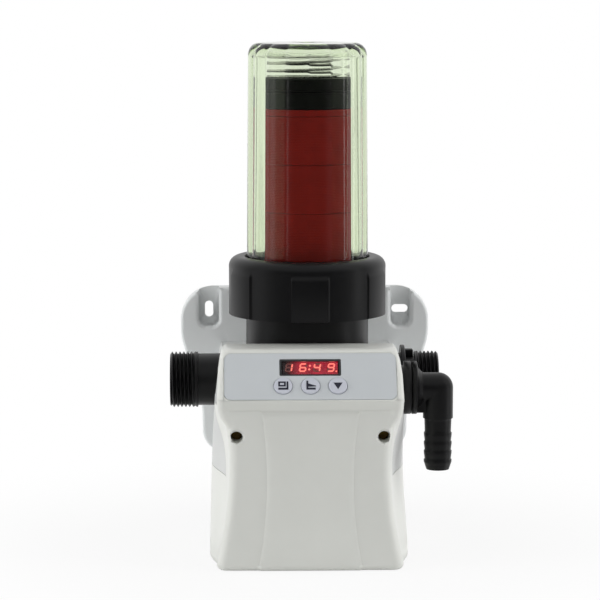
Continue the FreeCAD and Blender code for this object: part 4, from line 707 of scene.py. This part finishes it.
print("thread rows in one pitch:", ROWS_PER_PITCH)

# %% The inlet
inner_end, mouth = high("inlet_spigot").x, -low("inlet_spigot").x
inlet_start = mouth - 16.8 * MM
stem = [(PORT_BORE_R, -inner_end), (PLUG_R, -inner_end), (PLUG_R, PLUG_END), (PIPE_R, PLUG_END),
        (PIPE_R, inlet_start)]
inlet = threaded_end("inlet_spigot", stem, inlet_start + 0.3 * MM, mouth, -X)
print("inlet faces:", len(inlet.data.polygons))

# %% [markdown]
# ## The outlet's shoulder, neck and tab
# The outlet has a round shoulder behind a narrow neck, and a small tab stands on the neck and keeps
# the pipe's nut from turning. The tab is a block with rounded edges.

# %% The outlet, with its shoulder, neck and tab
SHOULDER_R = half("outlet_spigot").z
SHOULDER_X = 55.8 * MM
SHOULDER_EDGES = (0.3 * MM, 0.5 * MM)
SHOULDER_END = SHOULDER_X + 2.5 * MM
NECK_R = 13.8 * MM
TAB_SIZE = Vector((6.6, 5.2, 5.0)) * MM
TAB_X = SHOULDER_X + 4.3 * MM
TAB_TOP = 18.0 * MM
inner_end, mouth = low("outlet_spigot").x, high("outlet_spigot").x
outlet_start = mouth - 14.1 * MM
near_edge, far_edge = SHOULDER_EDGES
stem = [(PORT_BORE_R, inner_end), (PLUG_R, inner_end), (PLUG_R, PLUG_END), (PIPE_R, PLUG_END),
        (PIPE_R, SHOULDER_X), (SHOULDER_R - near_edge, SHOULDER_X),
        (SHOULDER_R, SHOULDER_X + near_edge), (SHOULDER_R, SHOULDER_END - far_edge),
        (SHOULDER_R - far_edge, SHOULDER_END), (NECK_R, SHOULDER_END), (NECK_R, outlet_start)]
threaded_end("outlet_spigot", stem, outlet_start + 0.1 * MM, mouth, X)


def rounded_block(size, at, edge, segments=3):
    """A box of the given size with all its edges rounded."""
    bm = bmesh.new()
    bmesh.ops.create_cube(bm, size=1.0)
    bmesh.ops.scale(bm, vec=size, verts=bm.verts)
    bmesh.ops.bevel(bm, geom=bm.edges[:], offset=edge, segments=segments, profile=0.5,
                    affect="EDGES", material=-1, clamp_overlap=True)
    bmesh.ops.translate(bm, vec=at, verts=bm.verts)
    return bm


tab = rounded_block(TAB_SIZE, PORT + Vector((TAB_X, 0, TAB_TOP - TAB_SIZE.z / 2)), 0.8 * MM)
finish_piece("outlet_tab", tab, BLACK_SATIN, "outlet_spigot", replace=False)
print("outlet mouth at x, mm:", round(mouth / MM, 1))

# %% [markdown]
# ## Pieces that take the CAD shape as it is
# The housing, the bracket, the drain branch and the drive have their full shape in the CAD model.
# A copy of each mesh is merged, so that its round faces shade smoothly, and gets a finish. Most of
# these pieces sit inside the housing, and they show when the part is opened or cut.

# %% Dress the CAD shapes
FINISH_OF = {
    COVER_WHITE: ["front_cover"],
    SHELL_GREY: ["rear_shell"],
    BRACKET_GREY: ["wall_bracket"],
    FACIA_SILVER: ["facia_panel"],
    BLACK_SATIN: ["manifold_body", "filter_head", "drain_elbow", "drain_valve_body", "power_jack",
                  "jack_nut"],
    BLACK_MATT: ["slip_ring", "filter_core", "gearbox_case", "led_display", "tact_switches",
                 "switch_plunger_left", "switch_plunger_middle", "switch_plunger_right"],
    RUBBER: ["bowl_seal", "stem_seal", "elbow_seal"],
    WAXY_WHITE: ["valve_seats", "drive_frame"],
    GEAR_WHITE: ["valve_gear", "motor_pinion"],
    BOARD_GREEN: ["control_board"],
    SPRING_STEEL: ["elbow_clip"],
    DULL_BRASS: ["valve_stem", "cover_screws"],
    PLATED_STEEL: ["valve_ball", "bracket_screws", "frame_screws"],
    ROLLED_STEEL: ["motor_can"],
}
CRISP = {"facia_panel", "control_board", "tact_switches", "led_display"}
CRISP_ANGLE, ROUND_ANGLE = 12, 28
for material, nodes in FINISH_OF.items():
    for node in nodes:
        dressed(node, material, CRISP_ANGLE if node in CRISP else ROUND_ANGLE)
print("dressed:", sum(len(nodes) for nodes in FINISH_OF.values()), "nodes")

# %% [markdown]
# ## The control panel's own plane
# The panel slopes, so its small pieces are modelled flat, with u to the right, v up the slope and w
# outwards, and one matrix then carries them there. The buttons are pressed straight into the panel,
# so the direction of their joints gives w, and the panel's own box gives the middle.

# %% A matrix for the panel
W = -Vector(JOINTS["left_press"]["axis"])
U = X.copy()
V = W.cross(U)
PANEL_FACE = centre("facia_panel") + W * 0.3 * MM
TO_PANEL = Matrix.Translation(PANEL_FACE) @ Matrix((U, V, W)).transposed().to_4x4()


def panel_uv(node):
    """Where a CAD node's middle lies on the panel."""
    away = centre(node) - PANEL_FACE
    return away.dot(U), away.dot(V)


def to_panel(bm, u=0.0, v=0.0, w=0.0):
    bm.transform(TO_PANEL @ Matrix.Translation((u, v, w)))
    return bm


WINDOW_U, WINDOW_V = panel_uv("display_window")
print("slope from upright, degrees:", round(math.degrees(math.atan2(W.z, -W.y)), 1))
print("window on the panel, mm:", round(WINDOW_U / MM, 2), round(WINDOW_V / MM, 2))

# %% [markdown]
# ## The display
# A clock runs this filter. Its display has four slanted cells of seven segments behind a smoked
# pane. Each segment is a small block whose four upright corners are cut back far enough to give
# the usual pointed bar. Lit segments give light of their own. Unlit ones carry a faint painted
# red glow, so that they show as a dim shade. The red light spills over the module's face, more to
# the right than to the left.

# %% Materials of the display
SPILL_START, SPILL_END = -14.0 * MM, -5.0 * MM


def lit(name, color, strength, base=(0.02, 0.0, 0.0)):
    material, tree, shader = new_material(name)
    flicker = noise(tree, own_place(tree), 900.0, 1.0)
    shades = two_tone(tree, flicker, [c * 0.8 for c in color], color)
    tree.links.new(shades, shader.inputs["Emission Color"])
    shader.inputs["Emission Strength"].default_value = strength
    shader.inputs["Base Color"].default_value = (*base, 1)
    shader.inputs["Roughness"].default_value = 0.5
    return material


def spill(name):
    """Red light on the display module's face, faint at its left end."""
    material, tree, shader = new_material(name)
    place = own_place(tree)
    split = add(tree, "ShaderNodeSeparateXYZ")
    tree.links.new(place, split.inputs["Vector"])
    across = ranged(tree, split.outputs["X"], SPILL_START, SPILL_END, kind=SOFT)
    uneven = ranged(tree, noise(tree, place, 260.0, 2.0), 0.3, 0.7, 0.55, 1.0)
    glow = calc(tree, "MULTIPLY", across, uneven)
    shades = two_tone(tree, glow, (0.012, 0.006, 0.006), (0.55, 0.02, 0.045))
    tree.links.new(shades, shader.inputs["Emission Color"])
    shader.inputs["Emission Strength"].default_value = 1.0
    shader.inputs["Base Color"].default_value = (0.03, 0.03, 0.03, 1)
    shader.inputs["Roughness"].default_value = 0.6
    return material


def smoked_pane():
    material, tree, shader = new_material("smoked_pane")
    dust = noise(tree, own_place(tree), 1500.0, 3.0)
    tree.links.new(ranged(tree, dust, 0.0, 1.0, 0.02, 0.10), shader.inputs["Roughness"])
    shader.inputs["Base Color"].default_value = (0.80, 0.78, 0.80, 1)
    shader.inputs["IOR"].default_value = 1.15
    shader.inputs["Transmission Weight"].default_value = 1.0
    return material


DIGIT_LIT = lit("digit_lit", (1.0, 0.20, 0.15), 1.9)
# The unlit segments get a faint painted glow: emission of their own, though they give no light.
DIGIT_UNLIT_PAINTED_GLOW = lit("digit_unlit_painted_glow", (0.10, 0.03, 0.025), 1.0, (0.25, 0.12, 0.10))
SPILL_RED = spill("display_spill")
SMOKED_PANE = smoked_pane()
print("display materials made")

# %% The four cells and the colon
CELL_W, CELL_H = 3.3 * MM, 4.7 * MM
STROKE = 0.9 * MM
BAR_THICK = 0.05 * MM
BAR_GAP = 0.12 * MM
BAR_POINT = 0.42
SLANT = math.radians(9)
CELL_US = (-12.1 * MM, -4.1 * MM, 4.0 * MM, 12.0 * MM)
COLON_U, COLON_V, COLON_R = -0.3 * MM, 1.2 * MM, 0.62 * MM
POINT_U, POINT_V, POINT_R = CELL_US[3] + 2.9 * MM, -2.4 * MM, 0.5 * MM
FACE_W = -1.75 * MM
FACE_V = 1.1 * MM
BARS = {"a": (0, 1, True), "g": (0, 0, True), "d": (0, -1, True), "f": (-1, 0.5, False),
        "b": (1, 0.5, False), "e": (-1, -0.5, False), "c": (1, -0.5, False)}
LIT_BARS = {"1": "bc", "6": "acdefg", "4": "bcfg", "9": "abcdfg"}
READING = "1649"


def pointed_bar(length):
    """A thin bar along x with its corners cut back to a point at each end."""
    bm = bmesh.new()
    bmesh.ops.create_cube(bm, size=1.0)
    bmesh.ops.scale(bm, vec=(length, STROKE, BAR_THICK), verts=bm.verts)
    upright = [e for e in bm.edges if abs(e.verts[0].co.z - e.verts[1].co.z) > BAR_THICK / 2]
    bmesh.ops.bevel(bm, geom=upright, offset=STROKE * BAR_POINT, segments=1, profile=0.5,
                    affect="EDGES", material=-1)
    return bm


def merge_into(target, bm, matrix=Matrix.Identity(4)):
    """Adds bm's shape to target."""
    bm.transform(matrix)
    mesh = bpy.data.meshes.new("part")
    bm.to_mesh(mesh)
    bm.free()
    target.from_mesh(mesh)
    bpy.data.meshes.remove(mesh)


def cell_bars(names):
    """The named bars of one upright cell."""
    bm = bmesh.new()
    for name in names:
        across, up, level = BARS[name]
        length = (CELL_W if level else CELL_H / 2) - BAR_GAP
        turn = Matrix.Identity(4) if level else Matrix.Rotation(math.pi / 2, 4, "Z")
        place = Matrix.Translation((across * CELL_W / 2, up * CELL_H / 2, 0))
        merge_into(bm, pointed_bar(length), place @ turn)
    return bm


def add_cell(target, names, u):
    """Slants a cell's bars and lays them on the module's face."""
    bm = cell_bars(names)
    shear = Matrix.Identity(4)
    shear[0][1] = math.tan(SLANT)
    bm.transform(shear)
    merge_into(target, to_panel(bm, WINDOW_U + u, WINDOW_V + FACE_V, FACE_W))


def add_dot(target, u, v, r):
    bm = bmesh.new()
    bmesh.ops.create_cone(bm, cap_ends=True, segments=16, radius1=r, radius2=r, depth=BAR_THICK)
    merge_into(target, to_panel(bm, WINDOW_U + u, WINDOW_V + FACE_V + v, FACE_W))


lit_bm, unlit_bm = bmesh.new(), bmesh.new()
for u, digit in zip(CELL_US, READING):
    add_cell(lit_bm, LIT_BARS[digit], u)
    add_cell(unlit_bm, [name for name in BARS if name not in LIT_BARS[digit]], u)
for v in (-COLON_V, COLON_V):
    add_dot(lit_bm, COLON_U + v * math.tan(SLANT), v, COLON_R)
add_dot(lit_bm, POINT_U, POINT_V, POINT_R)
finish_piece("digits_lit", lit_bm, DIGIT_LIT, "led_display", replace=False)
finish_piece("digits_unlit_painted_glow", unlit_bm, DIGIT_UNLIT_PAINTED_GLOW, "led_display", replace=False)
print("cells:", len(CELL_US))

# %% [markdown]
# ## The module's face, the pane and its rim
# Behind the digits lies the module's face, which glows faintly. A smoked pane covers it, and a dark
# flat rim frames the pane. The rim is a grid of one face: its middle is inset and taken out, the
# rest gets a thickness, and its upper edges are rounded.

# %% The module's glowing face, the pane and its dark rim
PANE_W, PANE_H = 35.3 * MM, 11.1 * MM
PANE_T, PANE_W_AT = 0.6 * MM, -0.45 * MM
PANE_GAP = 0.05 * MM
RIM_WIDTH, RIM_T, RIM_EDGE, RIM_PROUD = 1.15 * MM, 1.4 * MM, 0.15 * MM, 0.1 * MM
GLOW_SIZE = Vector((31.6, 8.4, 0.1)) * MM
GLOW_BELOW = 0.08 * MM


def flat_rim(width, height, rim, thick, edge):
    """A flat rectangular ring with slightly rounded edges, its top at height zero."""
    bm = bmesh.new()
    bmesh.ops.create_grid(bm, x_segments=1, y_segments=1, size=0.5)
    bmesh.ops.scale(bm, vec=(width, height, 1), verts=bm.verts)
    bmesh.ops.inset_region(bm, faces=bm.faces[:], thickness=rim, use_even_offset=True,
                            use_boundary=True)
    inner = min(bm.faces, key=lambda face: face.calc_center_median().length + face.calc_area())
    bmesh.ops.delete(bm, geom=[inner], context="FACES_ONLY")
    grown = bmesh.ops.extrude_face_region(bm, geom=bm.faces[:])
    below = [item for item in grown["geom"] if isinstance(item, bmesh.types.BMVert)]
    bmesh.ops.translate(bm, vec=(0, 0, -thick), verts=below)
    top = [e for e in bm.edges if all(abs(v.co.z) < MERGE for v in e.verts)
           and len(e.link_faces) == 2 and abs(e.calc_face_angle(0)) > 0.5]
    bmesh.ops.bevel(bm, geom=top, offset=edge, segments=2, profile=0.5, affect="EDGES", material=-1)
    return bm


rim = flat_rim(PANE_W, PANE_H, RIM_WIDTH, RIM_T, RIM_EDGE)
to_panel(rim, WINDOW_U, WINDOW_V, RIM_PROUD)
finish_piece("display_rim", rim, FRAME_INK, "display_window")
glow = rounded_block(GLOW_SIZE, (0, 0, 0), 0.02 * MM, 1)
to_panel(glow, WINDOW_U, WINDOW_V + FACE_V, FACE_W - GLOW_BELOW)
finish_piece("display_face", glow, SPILL_RED, "led_display", replace=False)
inset = 2 * RIM_WIDTH + PANE_GAP
pane = rounded_block((PANE_W - inset, PANE_H - inset, PANE_T), (0, 0, 0), 0.05 * MM, 2)
to_panel(pane, WINDOW_U, WINDOW_V, PANE_W_AT)
finish_piece("display_pane", pane, SMOKED_PANE, "display_window", replace=False)
print("pane, mm:", round(PANE_W / MM, 1), "by", round(PANE_H / MM, 1))

# %% [markdown]
# ## The three buttons
# Each button is a low round cap with a soft edge and a slightly dished top. A narrow dark gap
# runs round it, and it carries a plain mark in dark ink: a square with a corner line, a seat-like
# shape and a triangle. The marks are thin blocks on the cap, so they travel with it.

# %% Turn each cap and lay its mark on it
BUTTON_R = 5.3 * MM
BUTTON_TOP = 1.2 * MM
BUTTON_ROUND = 0.55 * MM
SKIRT_R = 5.9 * MM
SKIRT_TOP, SKIRT_FOOT = -0.95 * MM, -3.0 * MM
STEM_R, STEM_FOOT = 1.9 * MM, -5.0 * MM
DISH = ((0.0, 0.12 * MM), (2.6 * MM, 0.09 * MM), (BUTTON_R - 1.1 * MM, 0.02 * MM))
MARK_T = 0.03 * MM


def cap_profile():
    outline = [(r, BUTTON_TOP - sunk) for r, sunk in DISH]
    outline += arc(BUTTON_R - BUTTON_ROUND, BUTTON_TOP - BUTTON_ROUND, BUTTON_ROUND, 90, 0, 6)
    outline += [(BUTTON_R, SKIRT_TOP), (SKIRT_R, SKIRT_TOP), (SKIRT_R, SKIRT_FOOT),
                (STEM_R, SKIRT_FOOT), (STEM_R, STEM_FOOT), (0.0, STEM_FOOT)]
    return outline


def add_plate(target, corners):
    """A thin plate with the given corners, in millimetres."""
    bm = bmesh.new()
    verts = [bm.verts.new((x * MM, y * MM, 0)) for x, y in corners]
    bmesh.ops.contextual_create(bm, geom=verts)
    bmesh.ops.solidify(bm, geom=bm.faces[:], thickness=MARK_T)
    merge_into(target, bm)


def add_bar(target, u0, u1, v0, v1):
    add_plate(target, [(u0, v0), (u1, v0), (u1, v1), (u0, v1)])


def square_mark(target):
    merge_into(target, flat_rim(4.3 * MM, 3.3 * MM, 1.0 * MM, MARK_T, 0.002 * MM),
               Matrix.Translation((-0.6 * MM, 1.0 * MM, 0)))
    add_bar(target, 2.0, 3.0, -2.8, 2.65)
    add_bar(target, -2.75, 3.0, -2.8, -1.5)


def seat_mark(target):
    add_bar(target, -2.4, -1.3, -2.8, 3.1)
    add_plate(target, [(-1.4, -0.85), (3.1, -0.75), (3.1, -0.2), (-1.4, 1.3)])
    add_bar(target, -2.4, 2.9, -2.8, -1.5)


def triangle_mark(target):
    add_plate(target, [(0, -2.5), (2.6, 1.8), (-2.6, 1.8)])


MARKS = {"button_left": square_mark, "button_middle": seat_mark, "button_right": triangle_mark}
for node, draw in MARKS.items():
    u, v = panel_uv(node)
    cap_bm = lathe(cap_profile(), steps=64)
    finish_piece(node + "_cap", to_panel(cap_bm, u, v), BUTTON_GREY, node, angle=35)
    mark = bmesh.new()
    draw(mark)
    to_panel(mark, u, v, BUTTON_TOP - 0.01 * MM)
    finish_piece(node + "_mark", mark, ICON_INK, node, replace=False)
    print(node, "at u, v in mm:", round(u / MM, 2), round(v / MM, 2))

# %% [markdown]
# ## Camera
# The camera stands a metre and a half away and a little above, with a long lens, as for a product
# picture.

# %% Camera
bpy.context.scene.view_settings.view_transform = "Standard"
AIM = Vector((-0.0043, 0, 0.1472))
AZIMUTH, ELEVATION, DISTANCE = math.radians(-1.3), math.radians(7.3), 1.57
towards = Vector((math.sin(AZIMUTH) * math.cos(ELEVATION), -math.cos(AZIMUTH) * math.cos(ELEVATION),
                  math.sin(ELEVATION)))
camera_data = bpy.data.cameras.new("camera")
camera = bpy.data.objects.new("camera", camera_data)
bpy.context.scene.collection.objects.link(camera)
camera.location = AIM + towards * DISTANCE
camera.rotation_euler = (-towards).to_track_quat("-Z", "Y").to_euler()
camera_data.lens = 157.5
camera_data.sensor_width = 36
bpy.context.scene.camera = camera
print("camera at, m:", [round(v, 3) for v in camera.location])

# %% [markdown]
# ## Lamps
# Two large soft lamps at the sides give the housing bright flanks, and weaker ones in front, above
# and behind fill in the rest. Gloss and glass don't see them, or they would show as hard blobs.

# %% Lamps
def lamp(name, at, size, watts):
    data = bpy.data.lights.new(name, "AREA")
    data.shape = "RECTANGLE"
    data.size, data.size_y = size
    data.energy = watts
    light = bpy.data.objects.new(name, data)
    bpy.context.scene.collection.objects.link(light)
    light.location = at
    light.rotation_euler = (AIM - Vector(at)).to_track_quat("-Z", "Y").to_euler()
    light.visible_glossy = False
    light.visible_transmission = False


lamp("softbox_left", (-1.15, -0.28, 0.45), (0.5, 1.1), 4.8)
lamp("softbox_right", (1.15, -0.22, 0.42), (0.5, 1.1), 4.4)
lamp("softbox_front", (0.1, -1.5, 0.9), (0.9, 0.7), 1.5)
lamp("softbox_top", (0.0, -0.15, 1.2), (0.9, 0.6), 1.8)
lamp("softbox_back", (0.3, 1.4, 0.9), (0.9, 0.7), 2.2)

# %% [markdown]
# ## What each kind of ray sees
# A ray that comes straight from the camera, or through the clear bowl, sees pure white. A mirrored
# ray sees a small studio: a dark card in front, a narrow and a wide lit strip at the sides, and
# white walls behind. Every other ray brings the soft light of the room.

# %% Helpers for rays and for the studio
NARROW_STRIP = Vector((0.978, -0.208, 0))
WIDE_STRIP = Vector((-0.970, -0.242, 0))
STRIPS = ((NARROW_STRIP, 0.9955, 0.999, 2.2), (WIDE_STRIP, 0.93, 0.995, 0.75))


def seen_directly(tree, path):
    """One for the camera's rays, straight or through glass, and zero once they have bounced."""
    bounces = calc(tree, "ADD", path["Diffuse Depth"], path["Glossy Depth"], clamp=True)
    through = calc(tree, "SUBTRACT", path["Is Transmission Ray"], bounces, clamp=True)
    return calc(tree, "MAXIMUM", path["Is Camera Ray"], through)


def in_gloss(tree, path):
    """One for a mirrored ray that has not met a matt surface."""
    return calc(tree, "SUBTRACT", path["Is Glossy Ray"], path["Diffuse Depth"], clamp=True)


def studio_ring(tree, direction, above):
    """How bright the studio is in a direction. The value above fills in from overhead."""
    level = add(tree, "ShaderNodeVectorMath", operation="MULTIPLY")
    level.inputs[1].default_value = (1, 1, 0)
    tree.links.new(direction, level.inputs[0])
    unit = add(tree, "ShaderNodeVectorMath", operation="NORMALIZE")
    tree.links.new(level.outputs["Vector"], unit.inputs[0])
    split = add(tree, "ShaderNodeSeparateXYZ")
    tree.links.new(unit.outputs["Vector"], split.inputs["Vector"])
    card = ranged(tree, split.outputs["Y"], -0.82, -0.45, 0.03, 0.18, SOFT)
    walls = ranged(tree, split.outputs["Y"], -0.10, 0.40, 0.0, 0.95, SOFT)
    ring = calc(tree, "MAXIMUM", card, walls)
    for strip, start, end, bright in STRIPS:
        facing = add(tree, "ShaderNodeVectorMath", operation="DOT_PRODUCT")
        tree.links.new(unit.outputs["Vector"], facing.inputs[0])
        facing.inputs[1].default_value = strip
        lit_strip = ranged(tree, facing.outputs["Value"], start, end, 0.0, bright, SOFT)
        ring = calc(tree, "MAXIMUM", ring, lit_strip)
    return calc(tree, "MAXIMUM", ring, above)


print("strips in the studio:", len(STRIPS))

# %% World
AMBIENT_FRONT, AMBIENT_SIDE = 0.20, 1.5
OVERHEAD = 0.6
world = bpy.data.worlds.new("studio")
bpy.context.scene.world = world
world.use_nodes = True
tree = world.node_tree
sky = tree.nodes["Background"]
path = add(tree, "ShaderNodeLightPath").outputs
direction = add(tree, "ShaderNodeTexCoord").outputs["Generated"]
split = add(tree, "ShaderNodeSeparateXYZ")
tree.links.new(direction, split.inputs["Vector"])
sideways = calc(tree, "ABSOLUTE", split.outputs["X"])
above = ranged(tree, split.outputs["Z"], 0.15, 0.6, 0.0, OVERHEAD, SOFT)
bounced = add(tree, "ShaderNodeMix", data_type="FLOAT")
tree.links.new(in_gloss(tree, path), bounced.inputs["Factor"])
around = ranged(tree, sideways, 0.4, 0.95, AMBIENT_FRONT, AMBIENT_SIDE, SOFT)
tree.links.new(around, bounced.inputs["A"])
tree.links.new(studio_ring(tree, direction, above), bounced.inputs["B"])
strength = calc(tree, "MAXIMUM", seen_directly(tree, path), bounced.outputs["Result"])
tree.links.new(strength, sky.inputs["Strength"])
sky.inputs["Color"].default_value = (1, 1, 1, 1)
print("ambient light, front and side:", AMBIENT_FRONT, AMBIENT_SIDE)

# %% [markdown]
# ## The floor
# The floor is matt white and takes the object's shadow. A white glow is mixed in for the rays that
# see it directly, nearly all of it close to the object and all of it further away, so that only a
# soft shadow stays. Gloss sees the same studio in the floor as in the room.

# %% Floor
FLOOR_GAP = 0.2 * MM
FLOOR_HALF = 8.0
SHADOW_SHARE, SHADOW_START, SHADOW_END = 0.85, 0.08, 0.30
GLOSS_SHARE = 0.95
floor_bm = bmesh.new()
bmesh.ops.create_grid(floor_bm, x_segments=1, y_segments=1, size=FLOOR_HALF)
bmesh.ops.translate(floor_bm, vec=(0, 0, CAD_BOX[0][2] - FLOOR_GAP), verts=floor_bm.verts)
floor_mesh = bpy.data.meshes.new("floor")
floor_bm.to_mesh(floor_mesh)
floor_bm.free()
floor = bpy.data.objects.new("floor", floor_mesh)
bpy.context.scene.collection.objects.link(floor)
floor_white, tree, shader = new_material("floor_white")
floor_mesh.materials.append(floor_white)
shader.inputs["Base Color"].default_value = (0.9, 0.9, 0.9, 1)
shader.inputs["Roughness"].default_value = 0.9
shader.inputs["Specular IOR Level"].default_value = 0.0
path = add(tree, "ShaderNodeLightPath").outputs
seen = seen_directly(tree, path)
place = own_place(tree)
length = add(tree, "ShaderNodeVectorMath", operation="LENGTH")
tree.links.new(place, length.inputs[0])
away = length.outputs["Value"]
level = add(tree, "ShaderNodeMix", data_type="FLOAT")
tree.links.new(seen, level.inputs["Factor"])
near = ranged(tree, away, 0.3, 1.0, 0.5, 0.0, SOFT)
tree.links.new(studio_ring(tree, place, near), level.inputs["A"])
level.inputs["B"].default_value = 1.0
white = add(tree, "ShaderNodeEmission")
tree.links.new(level.outputs["Result"], white.inputs["Strength"])
seen_share = calc(tree, "MULTIPLY", seen,
                  ranged(tree, away, SHADOW_START, SHADOW_END, SHADOW_SHARE, 1.0, SOFT))
gloss_share = calc(tree, "MULTIPLY", in_gloss(tree, path), GLOSS_SHARE)
blend = add(tree, "ShaderNodeMixShader")
tree.links.new(calc(tree, "MAXIMUM", seen_share, gloss_share), blend.inputs[0])
tree.links.new(shader.outputs[0], blend.inputs[1])
tree.links.new(white.outputs[0], blend.inputs[2])
tree.links.new(blend.outputs[0], tree.nodes["Material Output"].inputs["Surface"])
print("floor height, mm:", round(CAD_BOX[0][2] / MM, 2))
